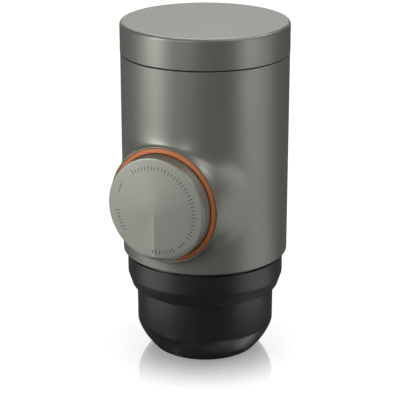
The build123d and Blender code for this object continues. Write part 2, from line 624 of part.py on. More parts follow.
def make_pump_block():
    """Manifold with the cylinder's housing, the valve column and the disc that holds the guide."""
    plate_radius = SHELL_BORE - LEDGE_WIDTH - BLOCK_GAP
    base = rod(plate_radius, GROUP_TOP, GROUP_TOP + BLOCK_BASE)
    top = rod(plate_radius, TANK_LOW - BLOCK_TOP, TANK_LOW)
    column = Pos(0, VALVE_Y, 0) * rod(COLUMN_RADIUS, GROUP_TOP, TANK_LOW)
    housing = PUMP * rod(HOUSING_RADIUS, VALVE_REACH - 2, GUIDE_REAR)
    disc = PUMP * rod(GUIDE_RADIUS, GUIDE_REAR - FRONT_DISC, GUIDE_REAR)
    block = base + top + column + housing + disc
    front = GUIDE_REAR - FRONT_DISC / 2
    rib = Box(RIB, front + RIB_REACH_BACK, TANK_LOW - GROUP_TOP)
    rib_place = Pos(0, (RIB_REACH_BACK - front) / 2, (TANK_LOW + GROUP_TOP) / 2)
    for side in (-1, 1):
        block = block + Pos(side * RIB_HALF_SPACING, 0, 0) * rib_place * rib
        bottom_boss = rod(BOSS_RADIUS, GROUP_TOP, GROUP_TOP + SCREW_BITE + 1)
        block = block + [place * bottom_boss for place in around(4, GROUP_SCREW_CIRCLE, 45)]
    knob_space = PUMP * rod(GUIDE_RADIUS + BOSS_GAP, GUIDE_REAR, BODY_RADIUS * 2)
    front_space = Pos(0, -GUIDE_REAR - 50, TANK_LOW) * Box(200, 100, BLOCK_TOP * 2 + 1)
    block = block - knob_space - front_space
    block = block - PUMP * rod(CYLINDER_RADIUS + CYLINDER_SEAT, CYLINDER_REAR, GUIDE_REAR + 1)
    block = block - PUMP * rod(CHAMBER_RADIUS, VALVE_REACH, CYLINDER_REAR + 1)
    valve_axis = Pos(0, VALVE_Y, 0)
    block = block - valve_axis * rod(VALVE_BORE, KNOB_AXIS - CHAMBER_RADIUS, INLET_SHOULDER + 1)
    block = block - valve_axis * rod(INLET_BORE, INLET_SHOULDER, TANK_LOW + 1)
    block = block - valve_axis * rod(SEAT_BORE, OUTLET_SEAT - 1, KNOB_AXIS)
    block = block - valve_axis * cone(OUTLET_BORE, SEAT_BORE, SEAT_CONE_LOW, OUTLET_SEAT)
    block = block - valve_axis * rod(OUTLET_BORE, GROUP_TOP - 1, SEAT_CONE_LOW)
    seal_seat = INLET_BORE + PORT_SEAL_WIDTH + 2 * SEAL_SIDE_GAP
    block = block - valve_axis * rod(seal_seat, TANK_LOW - PORT_SEAL, TANK_LOW + 1)
    hole = SCREW_RADIUS + SCREW_GAP
    for place in around(4, GROUP_SCREW_CIRCLE, 45):
        block = block - place * rod(hole, GROUP_TOP - 1, GROUP_TOP + SCREW_BITE + 0.3)
    block = block - rod(hole, GROUP_TOP - 1, GROUP_TOP + SCREW_BITE - 0.7)
    for place in tank_screw_places():
        block = block - place * rod(hole, TANK_LOW - BLOCK_TOP - 1, TANK_LOW + 1)
    for place in around(LUGS, GUIDE_SCREW_CIRCLE, 90):
        block = block - PUMP * place * rod(hole, GUIDE_REAR - FRONT_DISC - 1, GUIDE_REAR + 1)
    return block


def make_pump_cylinder():
    """Steel liner that the plunger runs in."""
    return PUMP * ring(CYLINDER_RADIUS, CYLINDER_BORE, CYLINDER_REAR, GUIDE_REAR)


def make_inlet_valve():
    """Soft duckbill valve that lets water down from the tank."""
    flange_edge = INLET_BORE - SEAL_SIDE_GAP / 2
    sleeve = VALVE_BORE - SEAL_SIDE_GAP
    sleeve_low = INLET_SHOULDER - DUCKBILL * 0.4
    bill_low = INLET_SHOULDER - DUCKBILL
    wall = sleeve * 0.5
    slit = 0.3
    valve = turned_corners(
        (sleeve - wall, RETAINER_LOW),
        (flange_edge, RETAINER_LOW),
        (flange_edge, INLET_SHOULDER),
        (sleeve, INLET_SHOULDER),
        (sleeve, sleeve_low),
        (slit + wall, bill_low),
        (slit, bill_low),
        (sleeve - wall, sleeve_low),
    )
    return Pos(0, VALVE_Y, 0) * valve


def make_inlet_valve_retainer():
    """Ring that holds the duckbill valve down in its bore."""
    return Pos(0, VALVE_Y, 0) * ring(INLET_BORE - 0.05, INLET_BORE - 1.8, RETAINER_LOW, TANK_LOW - PORT_SEAL)


def make_tank_floor_seal():
    """Seal ring between the tank's port and the pump block."""
    inner = INLET_BORE + SEAL_SIDE_GAP
    return Pos(0, VALVE_Y, 0) * ring(inner + PORT_SEAL_WIDTH, inner, TANK_LOW - PORT_SEAL, TANK_LOW)


def make_inlet_strainer():
    """Perforated plug in the tank's port that keeps grit out of the pump."""
    flange = rod(PORT_RADIUS + 1.8, TANK_FLOOR_TOP, TANK_FLOOR_TOP + 0.8)
    neck = rod(PORT_RADIUS - 0.1, TANK_LOW + 0.2, TANK_FLOOR_TOP + 0.1)
    hollow = rod(PORT_RADIUS - 1.0, TANK_LOW, TANK_FLOOR_TOP)
    strainer = flange + neck - hollow - rod(0.5, TANK_LOW, TANK_FLOOR_TOP + 2)
    for place in around(6, 1.7):
        strainer = strainer - place * rod(0.45, TANK_LOW, TANK_FLOOR_TOP + 2)
    return Pos(0, VALVE_Y, 0) * strainer


def make_outlet_ball():
    """Ball of the outlet check valve."""
    return Pos(0, VALVE_Y, BALL_CENTRE) * Sphere(BALL_RADIUS)


def make_outlet_valve_spring():
    """Light spring that holds the ball on its seat."""
    high = CAP_HIGH + VALVE_SPRING_LENGTH
    spring = coil(VALVE_SPRING_RADIUS, VALVE_SPRING_WIRE, VALVE_SPRING_TURNS, CAP_HIGH, high)
    return Pos(0, VALVE_Y, 0) * spring


def make_outlet_valve_cap():
    """Drilled plug that carries the outlet valve's spring."""
    return Pos(0, VALVE_Y, 0) * ring(OUTLET_BORE - 0.05, CAP_HOLE, CAP_LOW, CAP_HIGH)


# ---------------------------------------------------------------- knob guide and collar
def make_knob_guide():
    """Sleeve with bayonet slots wide enough for the knob's turn, screwed to the pump block."""
    flange = ring(GUIDE_RADIUS, FLANGE_RADIUS + 1.5, GUIDE_REAR, GUIDE_REAR + GUIDE_FLANGE)
    sleeve = ring(GUIDE_RADIUS, COLLAR_BORE, GUIDE_REAR, COLLAR_REAR)
    guide = flange + sleeve
    slot_angle = LUG_ANGLE + KNOB_TURN + 2 * SLOT_SIDE_GAP
    slot_low = GUIDE_REAR + GUIDE_FLANGE + 0.2
    slot = sector(GUIDE_RADIUS + 1, COLLAR_BORE - 1, slot_low, COLLAR_REAR + 1, slot_angle)
    for index in range(LUGS):
        turn = 360 / LUGS * index + (KNOB_TURN / 2)
        guide = guide - Rot(0, 0, turn) * slot
    hole = rod(SCREW_RADIUS + SCREW_GAP, GUIDE_REAR - 1, GUIDE_REAR + GUIDE_FLANGE + 1)
    for place in around(LUGS, GUIDE_SCREW_CIRCLE, 90):
        guide = guide - place * hole
    return PUMP * guide


def sector(outer, inner, low, high, angle):
    """Part of a tube that covers an angle, centred on the X axis."""
    outline = make_face(
        Polyline((inner, low), (outer, low), (outer, high), (inner, high), close=True)
    )
    return Rot(0, 0, -angle / 2) * revolve(Plane.XZ * outline, Axis.Z, angle)


def make_guide_screws():
    """Screws that hold the guide to the pump block's disc."""
    head_low = GUIDE_REAR + GUIDE_FLANGE
    one = screw(SCREW_HEAD_RADIUS - 0.3, head_low, head_low + SCREW_HEAD, GUIDE_REAR - FRONT_DISC)
    return [PUMP * place * one for place in around(LUGS, GUIDE_SCREW_CIRCLE, 90)]


def make_collar_ring():
    """Coloured ring in the mouth of the boss that stops the knob's lugs."""
    return PUMP * turned_corners(
        (COLLAR_BORE, COLLAR_REAR),
        (GUIDE_RADIUS, COLLAR_REAR),
        (GUIDE_RADIUS, COLLAR_FRONT - COLLAR_BEVEL),
        (COLLAR_BORE + 0.3, COLLAR_FRONT),
        (COLLAR_BORE, COLLAR_FRONT),
    )


def make_spring_seat():
    """Washer under the return spring that also keeps the cylinder in."""
    return PUMP * ring(FLANGE_RADIUS + 0.5, PLUNGER_RADIUS + 0.6, GUIDE_REAR, SEAT_FRONT)


def make_return_spring():
    """Spring that pushes the plunger out, squeezed at rest."""
    low = SEAT_FRONT + SPRING_END_GAP
    high = FLANGE_REAR - SPRING_END_GAP
    return PUMP * coil(SPRING_RADIUS, SPRING_WIRE, SPRING_TURNS, low, high)


# ---------------------------------------------------------------- plunger and knob
SEAL_LENGTH = 1.8
SEAL_DEPTH = 1.5
SEAL_FIRST = 1.5            # first ring groove behind the plunger's tip
SEAL_STEP = 3.2


def ring_groove(index):
    """Rear and front reach of one of the plunger's ring grooves."""
    rear = PLUNGER_TIP + SEAL_FIRST + SEAL_STEP * index
    return rear, rear + SEAL_LENGTH


def make_plunger():
    """Plunger with two ring grooves, a spring flange and the journal for the knob's hub."""
    shaft = rod(PLUNGER_RADIUS, PLUNGER_TIP, FLANGE_REAR)
    flange = rod(FLANGE_RADIUS, FLANGE_REAR, FLANGE_FRONT)
    journal = rod(JOURNAL_RADIUS, FLANGE_FRONT, JOURNAL_FRONT)
    plunger = shaft + flange + journal
    for index in (0, 1):
        rear, front = ring_groove(index)
        plunger = plunger - ring(PLUNGER_RADIUS + 1, PLUNGER_RADIUS - SEAL_DEPTH, rear, front)
    clip_front = CLIP_REAR + CLIP_THICKNESS
    groove = ring(JOURNAL_RADIUS + 1, JOURNAL_RADIUS - CLIP_GROOVE, CLIP_REAR - 0.05, clip_front + 0.05)
    return PUMP * (plunger - groove)


def make_plunger_ring(index):
    """Soft ring in one of the plunger's grooves."""
    rear, front = ring_groove(index)
    inner = PLUNGER_RADIUS - SEAL_DEPTH + 0.05
    return PUMP * ring(CYLINDER_BORE - SEAL_FIT, inner, rear + 0.1, front - 0.1)


def make_hub_clip():
    """Open retaining clip in the journal's groove, in front of the hub."""
    inner = JOURNAL_RADIUS - CLIP_GROOVE + 0.05
    clip = ring(JOURNAL_RADIUS + CLIP_WIDTH, inner, CLIP_REAR, CLIP_REAR + CLIP_THICKNESS)
    opening = Pos(JOURNAL_RADIUS + 2, 0, CLIP_REAR) * Box(JOURNAL_RADIUS * 2, 4.0, 4)
    return PUMP * (clip - opening)


def make_knob_hub():
    """Hub that turns on the plunger's journal and carries the knob."""
    sleeve = ring(HUB_RADIUS, HUB_BORE, HUB_REAR, HUB_FRONT)
    disc = ring(KNOB_BOSS_CIRCLE + 4.5, HUB_BORE, HUB_DISC_REAR, HUB_DISC_FRONT)
    hub = sleeve + disc
    for place in around(LUGS, KNOB_BOSS_CIRCLE, 30):
        hub = hub - place * rod(SCREW_RADIUS + SCREW_GAP, HUB_DISC_REAR - 1, HUB_DISC_FRONT + 1)
    return PUMP * hub


def make_piston_knob():
    """Knob: a cap with a shallow cone on its face and bayonet lugs on the end of its skirt."""
    cap = turned_corners(
        (0, FACE_REAR),
        (KNOB_INNER, FACE_REAR),
        (KNOB_INNER, KNOB_REAR),
        (KNOB_RADIUS, KNOB_REAR),
        (KNOB_RADIUS, KNOB_FRONT - KNOB_EDGE),
        (KNOB_RADIUS - KNOB_EDGE * 0.3, KNOB_FRONT - KNOB_EDGE * 0.3),
        (KNOB_RADIUS - KNOB_EDGE, KNOB_FRONT),
        (0, KNOB_FRONT + KNOB_DISH),
    )
    lug = sector(KNOB_RADIUS + LUG_DEPTH, KNOB_RADIUS - 0.5, KNOB_REAR, KNOB_REAR + LUG_LENGTH, LUG_ANGLE)
    knob = cap
    for index in range(LUGS):
        knob = knob + Rot(0, 0, 360 / LUGS * index) * lug
    for place in around(LUGS, KNOB_BOSS_CIRCLE, 30):
        knob = knob + place * rod(BOSS_RADIUS, HUB_DISC_FRONT, FACE_REAR + 0.5)
        knob = knob - place * rod(SCREW_RADIUS + 0.05, HUB_DISC_FRONT - 1, FACE_REAR - 0.2)
    return PUMP * knob


def make_knob_screws():
    """Screws that hold the knob to its hub, heads behind the hub's disc."""
    one = screw(SCREW_HEAD_RADIUS, HUB_DISC_REAR - SCREW_HEAD, HUB_DISC_REAR, FACE_REAR - 0.6)
    return [PUMP * place * one for place in around(LUGS, KNOB_BOSS_CIRCLE, 30)]


# ---------------------------------------------------------------- tank
def make_water_tank():
    """Tank with a port in its floor, a lip on the shell's rim and a threaded neck."""
    shoulder_low = TANK_TOP - TANK_WALL
    tank = turned_corners(
        (0, TANK_LOW),
        (TANK_RADIUS, TANK_LOW),
        (TANK_RADIUS, TANK_TOP - TANK_LIP),
        (LIP_RADIUS, TANK_TOP - TANK_LIP),
        (LIP_RADIUS, TANK_TOP),
        (NECK_CORE, TANK_TOP),
        (NECK_CORE, NECK_TOP),
        (NECK_BORE, NECK_TOP),
        (NECK_BORE, shoulder_low),
        (TANK_INNER, shoulder_low),
        (TANK_INNER, TANK_FLOOR_TOP),
        (0, TANK_FLOOR_TOP),
    )
    tank = tank + thread_ridges(NECK_CORE, NECK_CORE + NECK_RIDGE, NECK_RIDGES_LOW)
    for place in tank_screw_places():
        tank = tank + place * rod(BOSS_RADIUS, TANK_LOW, TANK_FLOOR_TOP + BOSS_HEIGHT)
        tank = tank - place * rod(SCREW_RADIUS + SCREW_GAP, TANK_LOW - 1, TANK_LOW + SCREW_BITE + 0.3)
    return tank - Pos(0, VALVE_Y, 0) * rod(PORT_RADIUS, TANK_LOW - 1, TANK_FLOOR_TOP + 1)


def make_tank_screws():
    """Screws from under the pump block's top up into the tank's bosses."""
    low = TANK_LOW - BLOCK_TOP
    one = screw(SCREW_HEAD_RADIUS, low - SCREW_HEAD, low, TANK_LOW + SCREW_BITE)
    return [place * one for place in tank_screw_places()]


# ---------------------------------------------------------------- lid
LINER_LOW = LID_LOW + LINER_CLEARANCE
SPLINE_LOW = LINER_LOW + 1.5


def make_lid_cover():
    """Cap of the lid, with splines inside that turn the liner."""
    cover = turned_corners(
        (LID_INNER, LID_LOW),
        (LID_RADIUS, LID_LOW),
        (LID_RADIUS, LID_HIGH),
        (0, LID_HIGH),
        (0, LID_CEILING),
        (LID_INNER, LID_CEILING),
    )
    top_edge = cover.edges().group_by(Axis.Z)[-1]
    cover = fillet(top_edge, LID_ROUND)
    inner = LINER_RADIUS - SPLINE_DEPTH + SPLINE_GAP
    spline = Box(LID_INNER + 0.5 - inner, SPLINE_WIDTH, SPLINE_HEIGHT)
    middle = (LID_INNER + 0.5 + inner) / 2
    for place in around(SPLINES, middle):
        cover = cover + place * Pos(0, 0, SPLINE_LOW + SPLINE_HEIGHT / 2) * spline
    return cover


def make_lid_liner():
    """Threaded liner of the lid, with a seat for the vent valve."""
    liner = turned_corners(
        (LINER_CORE, LINER_LOW),
        (LINER_RADIUS, LINER_LOW),
        (LINER_RADIUS, LID_CEILING),
        (0, LID_CEILING),
        (0, LINER_PLATE_LOW),
        (LINER_CORE, LINER_PLATE_LOW),
    )
    half_pitch = LEAD / STARTS / 2
    liner = liner + thread_ridges(LINER_CORE, LINER_CORE - NECK_RIDGE, NECK_RIDGES_LOW + half_pitch)
    notch = Box(2 * SPLINE_DEPTH, SPLINE_WIDTH + 2 * SPLINE_GAP, SPLINE_HEIGHT + 2 * SPLINE_GAP)
    for place in around(SPLINES, LINER_RADIUS):
        liner = liner - place * Pos(0, 0, SPLINE_LOW + SPLINE_HEIGHT / 2) * notch
    liner = liner - rod(1.6, LINER_PLATE_LOW - 1, LID_CEILING + 1)
    liner = liner - rod(4.2, LID_CEILING - 0.6, LID_CEILING + 1)
    for place in around(4, 3.2):
        liner = liner - place * rod(0.45, LINER_PLATE_LOW - 1, LID_CEILING + 1)
    return liner


def make_lid_gasket():
    """Flat soft ring between the tank's neck and the lid's liner."""
    low = NECK_TOP + GASKET_REST
    return ring(NECK_CORE - 0.2, NECK_BORE - 0.6, low, low + GASKET)


def make_lid_vent_valve():
    """Soft mushroom valve that lets air into the tank while it empties."""
    return turned_corners(
        (0, LINER_PLATE_LOW - 0.9),
        (4.6, LINER_PLATE_LOW - 0.3),
        (4.6, LINER_PLATE_LOW),
        (1.5, LINER_PLATE_LOW),
        (1.5, LID_CEILING - 0.55),
        (2.4, LID_CEILING - 0.55),
        (2.0, LID_CEILING - 0.1),
        (0, LID_CEILING - 0.1),
    )


# ---------------------------------------------------------------- all nodes
def all_nodes():
    """Every piece by its node name."""
    return {
        "outer_shell": make_outer_shell(),
        "water_tank": make_water_tank(),
        "pump_block": make_pump_block(),
        "pump_cylinder": make_pump_cylinder(),
        "knob_guide": make_knob_guide(),
        "guide_screws": make_guide_screws(),
        "collar_ring": make_collar_ring(),
        "spring_seat": make_spring_seat(),
        "return_spring": make_return_spring(),
        "inlet_strainer": make_inlet_strainer(),
        "tank_floor_seal": make_tank_floor_seal(),
        "inlet_valve": make_inlet_valve(),
        "inlet_valve_retainer": make_inlet_valve_retainer(),
        "outlet_ball": make_outlet_ball(),
        "outlet_valve_spring": make_outlet_valve_spring(),
        "outlet_valve_cap": make_outlet_valve_cap(),
        "group_port_seal": make_group_port_seal(),
        "brew_group": make_brew_group(),
        "shower_screen": make_shower_screen(),
        "shower_screen_screw": make_shower_screen_screw(),
        "group_gasket": make_group_gasket(),
        "cup_grip_ring": make_cup_grip_ring(),
        "group_screws": make_group_screws(),
        "tank_screws": make_tank_screws(),
        "lid_cover": make_lid_cover(),
        "lid_liner": make_lid_liner(),
        "lid_gasket": make_lid_gasket(),
        "lid_vent_valve": make_lid_vent_valve(),
        "plunger": make_plunger(),
        "piston_seal": make_plunger_ring(0),
        "piston_backup_ring": make_plunger_ring(1),
        "hub_clip": make_hub_clip(),
        "piston_knob": make_piston_knob(),
        "knob_hub": make_knob_hub(),
        "knob_screws": make_knob_screws(),
        "filter_basket": make_filter_basket(),
        "outlet_head": make_outlet_head(),
        "spout_tip": make_spout_tip(),
        "drinking_cup": make_drinking_cup(),
    }


os.makedirs("parts", exist_ok=True)
for name, piece in all_nodes().items():
    solid = Compound(children=piece) if isinstance(piece, list) else piece
    export_step(solid, f"parts/{name}.step")
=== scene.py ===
"""Looks of a handheld manual espresso maker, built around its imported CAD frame.

Sizes are in millimetres. A piece is modelled in millimetres on the Z axis or about it,
and `settle` scales it to metres and puts it on its own axis, so that its place is in
its mesh. The maker stands on its cup, +Z up, and the plunger's knob faces -Y.
"""

import json
import logging
import math
from dataclasses import dataclass
from enum import Enum
from typing import Callable, Optional, Sequence

import bmesh
import bpy
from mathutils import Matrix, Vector

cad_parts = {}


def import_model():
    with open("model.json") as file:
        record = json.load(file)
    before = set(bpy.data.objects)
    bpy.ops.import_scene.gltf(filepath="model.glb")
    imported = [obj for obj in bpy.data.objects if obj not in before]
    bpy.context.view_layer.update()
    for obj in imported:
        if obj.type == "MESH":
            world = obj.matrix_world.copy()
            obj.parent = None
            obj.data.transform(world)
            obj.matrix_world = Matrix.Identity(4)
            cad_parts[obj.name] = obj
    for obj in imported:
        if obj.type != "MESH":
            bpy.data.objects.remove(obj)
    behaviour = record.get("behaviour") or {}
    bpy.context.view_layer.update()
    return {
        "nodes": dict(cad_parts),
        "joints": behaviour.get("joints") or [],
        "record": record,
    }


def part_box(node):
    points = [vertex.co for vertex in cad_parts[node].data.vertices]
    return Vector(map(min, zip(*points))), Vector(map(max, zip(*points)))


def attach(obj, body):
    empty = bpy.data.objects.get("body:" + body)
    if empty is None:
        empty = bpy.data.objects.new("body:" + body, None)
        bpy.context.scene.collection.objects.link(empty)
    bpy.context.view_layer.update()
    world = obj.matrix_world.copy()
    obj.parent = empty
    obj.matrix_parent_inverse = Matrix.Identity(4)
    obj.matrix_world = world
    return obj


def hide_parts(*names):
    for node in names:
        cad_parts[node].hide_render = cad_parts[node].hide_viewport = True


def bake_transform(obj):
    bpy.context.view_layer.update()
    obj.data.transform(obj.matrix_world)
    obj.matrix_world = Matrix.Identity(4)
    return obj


LOG = logging.getLogger("espresso_maker")
MM = 0.001
SEGMENTS = 192              # sides of a full turn, a multiple of six
SMOOTH_ANGLE = 32.0         # degrees, a sharper edge than this stays an edge
WELD = 0.004                # mm, points nearer than this become one
NEAR = 10 * WELD            # mm, a point this near to a ring lies on it
SAME_TURN = 1e-4            # radians, two turns nearer than this are one
GUIDE = 4.0                 # mm, how far off a point lies that only aims a round corner

Point = tuple[float, float]
Place = tuple[float, float, float]
Colour = tuple[float, float, float, float]
Object = bpy.types.Object
Material = bpy.types.Material
Tree = bpy.types.NodeTree
Node = bpy.types.Node
Socket = bpy.types.NodeSocket


class Seat(Enum):
    """The two axes that the round pieces are turned about."""

    MAIN = "main"
    PUMP = "pump"


class Body(Enum):
    """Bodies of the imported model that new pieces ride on."""

    CASING = "casing"
    LID = "tank_lid"
    PLUNGER = "plunger_rod"
    KNOB = "knob"
    CUP = "cup"
    BALL = "valve_ball"


# ------------------------------------------------------------------ outlines
def rounded(corners: Sequence[tuple[float, ...]], steps: int = 6) -> list[Point]:
    """Rounds the corners of an outline that have a third number, the radius.

    Args:
        corners: radius, height and, where the corner is round, its fillet radius.
        steps: straight pieces in each round corner.

    Returns:
        The outline's points as radius and height.
    """
    points: list[Point] = []
    for index, corner in enumerate(corners):
        here = Vector(corner[:2])
        if len(corner) == 2:
            points.append((here.x, here.y))
            continue
        back = (Vector(corners[index - 1][:2]) - here).normalized()
        on = (Vector(corners[(index + 1) % len(corners)][:2]) - here).normalized()
        half = back.angle(on) / 2
        centre = here + (back + on).normalized() * corner[2] / math.sin(half)
        reach = corner[2] / math.tan(half)
        first, last = here + back * reach - centre, here + on * reach - centre
        sweep = math.pi - 2 * half
        for step in range(steps + 1):
            share = step / steps
            arm = first * math.sin((1 - share) * sweep) + last * math.sin(share * sweep)
            place = centre + arm / math.sin(sweep)
            points.append((place.x, place.y))
    return points


def bulged(low: Point, high: Point, bulge: float, steps: int = 10) -> list[Point]:
    """Gives points along a line that is bowed outwards.

    Args:
        low: first point, radius and height.
        high: last point.
        bulge: how far the middle stands out.
        steps: straight pieces in the line.

    Returns:
        The points, both ends among them.
    """
    points = []
    for step in range(steps + 1):
        share = step / steps
        place = Vector(low).lerp(Vector(high), share)
        points.append((place.x + 4 * bulge * share * (1 - share), place.y))
    return points


# ------------------------------------------------------------------ modelling
def apply_place() -> None:
    """Moves the place, turn and scale of the selected object into its mesh."""
    bpy.ops.object.transform_apply(location=True, rotation=True, scale=True)


def only(piece: Object) -> None:
    """Selects one object, makes it active and leaves edit mode.

    Args:
        piece: the object.
    """
    if bpy.context.object and bpy.context.object.mode != "OBJECT":
        bpy.ops.object.mode_set(mode="OBJECT")
    bpy.ops.object.select_all(action="DESELECT")
    piece.select_set(True)
    bpy.context.view_layer.objects.active = piece


def new_ring(name: str, radius: float, height: float) -> Object:
    """Adds a circle about the Z axis and stays in edit mode with it selected.

    Args:
        name: name of the new object.
        radius: radius of the circle.
        height: height of the circle.

    Returns:
        The new object.
    """
    bpy.ops.object.select_all(action="DESELECT")
    bpy.ops.mesh.primitive_circle_add(vertices=SEGMENTS, radius=radius, location=(0, 0, height))
    piece = bpy.context.object
    piece.name = piece.data.name = name
    apply_place()
    bpy.ops.object.mode_set(mode="EDIT")
    bpy.ops.mesh.select_mode(type="EDGE")
    return piece


def extrude_to(old: Point, new: Point) -> None:
    """Extrudes the selected ring about the Z axis to another radius and height.

    Args:
        old: radius and height of the selected ring.
        new: radius and height of the ring to make.
    """
    rise = (0, 0, new[1] - old[1])
    bpy.ops.mesh.extrude_edges_move(TRANSFORM_OT_translate={"value": rise})
    if new[0] < WELD:
        bpy.ops.mesh.merge(type="CENTER")
        return
    scale = new[0] / old[0]
    bpy.ops.transform.resize(value=(scale, scale, 1), center_override=(0, 0, 0))


def select_edges(piece: Object, test: Callable[[Vector], bool]) -> None:
    """Selects edges of a mesh in edit mode by the place of their ends.

    Args:
        piece: the object in edit mode.
        test: whether an end at a place may be one of a selected edge.
    """
    bpy.ops.mesh.select_all(action="DESELECT")
    mesh = bmesh.from_edit_mesh(piece.data)
    inside = {point.index for point in mesh.verts if test(point.co)}
    for edge in mesh.edges:
        if all(point.index in inside for point in edge.verts):
            edge.select_set(True)
    bmesh.update_edit_mesh(piece.data)


def on_ring(radius: float, height: float) -> Callable[[Vector], bool]:
    """Gives a test for points on a ring about the Z axis, by its radius and height."""
    return lambda co: abs(co.xy.length - radius) < NEAR and abs(co.z - height) < NEAR


def run_loop(piece: Object, outline: Sequence[Point]) -> None:
    """Extrudes an open edge about the Z axis along an outline that starts on it.

    Args:
        piece: the object in edit mode.
        outline: radius and height of each point, the first being the open edge.
    """
    select_edges(piece, on_ring(*outline[0]))
    for old, new in zip(outline, outline[1:]):
        extrude_to(old, new)


def spin(steps: int, angle: float) -> None:
    """Spins what is selected about the Z axis.

    Args:
        steps: copies that the spin makes.
        angle: radians, counterclockwise seen from above. Blender's own spin turns clockwise.
    """
    bpy.ops.mesh.spin(steps=steps, angle=-angle, center=(0, 0, 0), axis=(0, 0, 1))


def close_shell(piece: Object) -> None:
    """Welds double points and turns all faces outwards, then leaves edit mode.

    Args:
        piece: the object in edit mode.
    """
    bpy.ops.mesh.select_all(action="SELECT")
    bpy.ops.mesh.remove_doubles(threshold=WELD)
    bpy.ops.mesh.normals_make_consistent(inside=False)
    only(piece)


def turned(name: str, outline: Sequence[Point], closed: bool = False) -> Object:
    """Turns an outline about the Z axis, ring by ring.

    Args:
        name: name of the new object.
        outline: radius and height of each point. An end on the axis is closed there.
        closed: whether the last point joins the first.

    Returns:
        The new object, in object mode.
    """
    tip = outline[0] if outline[0][0] < WELD else None
    rings = list(outline[1:] if tip else outline)
    piece = new_ring(name, *rings[0])
    for old, new in zip(rings, rings[1:]):
        extrude_to(old, new)
    if tip:
        run_loop(piece, [rings[0], tip])
    if closed:
        bpy.ops.mesh.select_all(action="DESELECT")
        bpy.ops.mesh.select_non_manifold()
        bpy.ops.mesh.bridge_edge_loops()
    close_shell(piece)
    return piece


def join(*pieces: Object) -> Object:
    """Joins meshes into the first one.

    Args:
        pieces: the objects to join.

    Returns:
        The first one.
    """
    only(pieces[0])
    for piece in pieces[1:]:
        piece.select_set(True)
    bpy.ops.object.join()
    return pieces[0]


def smooth(piece: Object) -> None:
    """Shades a piece smooth but for its edges, its flat faces staying flat.

    Args:
        piece: the piece to shade.
    """
    only(piece)
    bpy.ops.object.shade_smooth_by_angle(angle=math.radians(SMOOTH_ANGLE))
    modifier = piece.modifiers.new("flat_faces", "WEIGHTED_NORMAL")
    modifier.keep_sharp = True
    bpy.ops.object.modifier_apply(modifier=modifier.name)


def settle(piece: Object, seat: Seat, pump_height: float = 0.0) -> None:
    """Scales a piece to metres and puts it on its axis, with its place in its mesh.

    Args:
        piece: a piece modelled in millimetres about the Z axis.
        seat: the axis that the Z axis becomes.
        pump_height: height of the pump's axis in metres, for a piece on it.
    """
    only(piece)
    piece.scale = (MM, MM, MM)
    if seat is Seat.PUMP:
        piece.rotation_euler = (math.pi / 2, 0, 0)
        piece.location = (0, 0, pump_height)
    apply_place()


def declare(piece: Object, material: Material, slot: str, *nodes: str) -> None:
    """Gives a finished piece its finish and hides the CAD nodes that it replaces.

    Args:
        piece: the finished piece.
        material: its finish.
        slot: the record's material slot; not used.
        nodes: CAD nodes that it replaces.
    """
    piece.data.materials.clear()
    piece.data.materials.append(material)
    if nodes:
        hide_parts(*nodes)
    LOG.info("%s: %d faces, %s", piece.name, len(piece.data.polygons), material.name)


# ------------------------------------------------------------------ finishes
def linear(colour: str) -> Colour:
    """Turns an sRGB hex colour into linear numbers.

    Args:
        colour: the colour, such as "#8b8c84".

    Returns:
        Linear red, green, blue and alpha.
    """
    shares = [int(colour[start:start + 2], 16) / 255 for start in (1, 3, 5)]
    red, green, blue = [x / 12.92 if x <= 0.04045 else ((x + 0.055) / 1.055) ** 2.4 for x in shares]
    return red, green, blue, 1.0


def add_node(tree: Tree, kind: str, settings: dict, links: Optional[dict] = None) -> Node:
    """Adds a shader node.

    Args:
        tree: the tree to add it to.
        kind: the node's type.
        settings: values of its inputs, by name or number, and of its properties.
        links: outputs to link to its inputs, by the input's name or number.

    Returns:
        The new node.
    """
    return set_node(tree, tree.nodes.new(kind), settings, links)


def set_node(tree: Tree, node: Node, settings: dict, links: Optional[dict] = None) -> Node:
    """Sets and links a shader node.

    Args:
        tree: the tree that it is in.
        node: the node.
        settings: values of its inputs, by name or number, and of its properties.
        links: outputs to link to its inputs, by the input's name or number.

    Returns:
        The node.
    """
    for name, value in settings.items():
        if isinstance(name, int) or name in node.inputs:
            node.inputs[name].default_value = value
        else:
            setattr(node, name, value)
    for name, source in (links or {}).items():
        tree.links.new(source, node.inputs[name])
    return node


def new_material(name: str) -> tuple[Material, Tree, Socket]:
    """Makes a material with a Principled shader and gives what the patterns start from.

    Args:
        name: name of the material.

    Returns:
        The material, its tree and the object coordinates in it.
    """
    material = bpy.data.materials.new(name)
    material.use_nodes = True
    tree = material.node_tree
    return material, tree, add_node(tree, "ShaderNodeTexCoord", {}).outputs["Object"]


def tint(colour: str, factor: float) -> Colour:
    """Gives an sRGB hex colour in linear numbers, made lighter or darker by a factor."""
    red, green, blue, alpha = linear(colour)
    return red * factor, green * factor, blue * factor, alpha


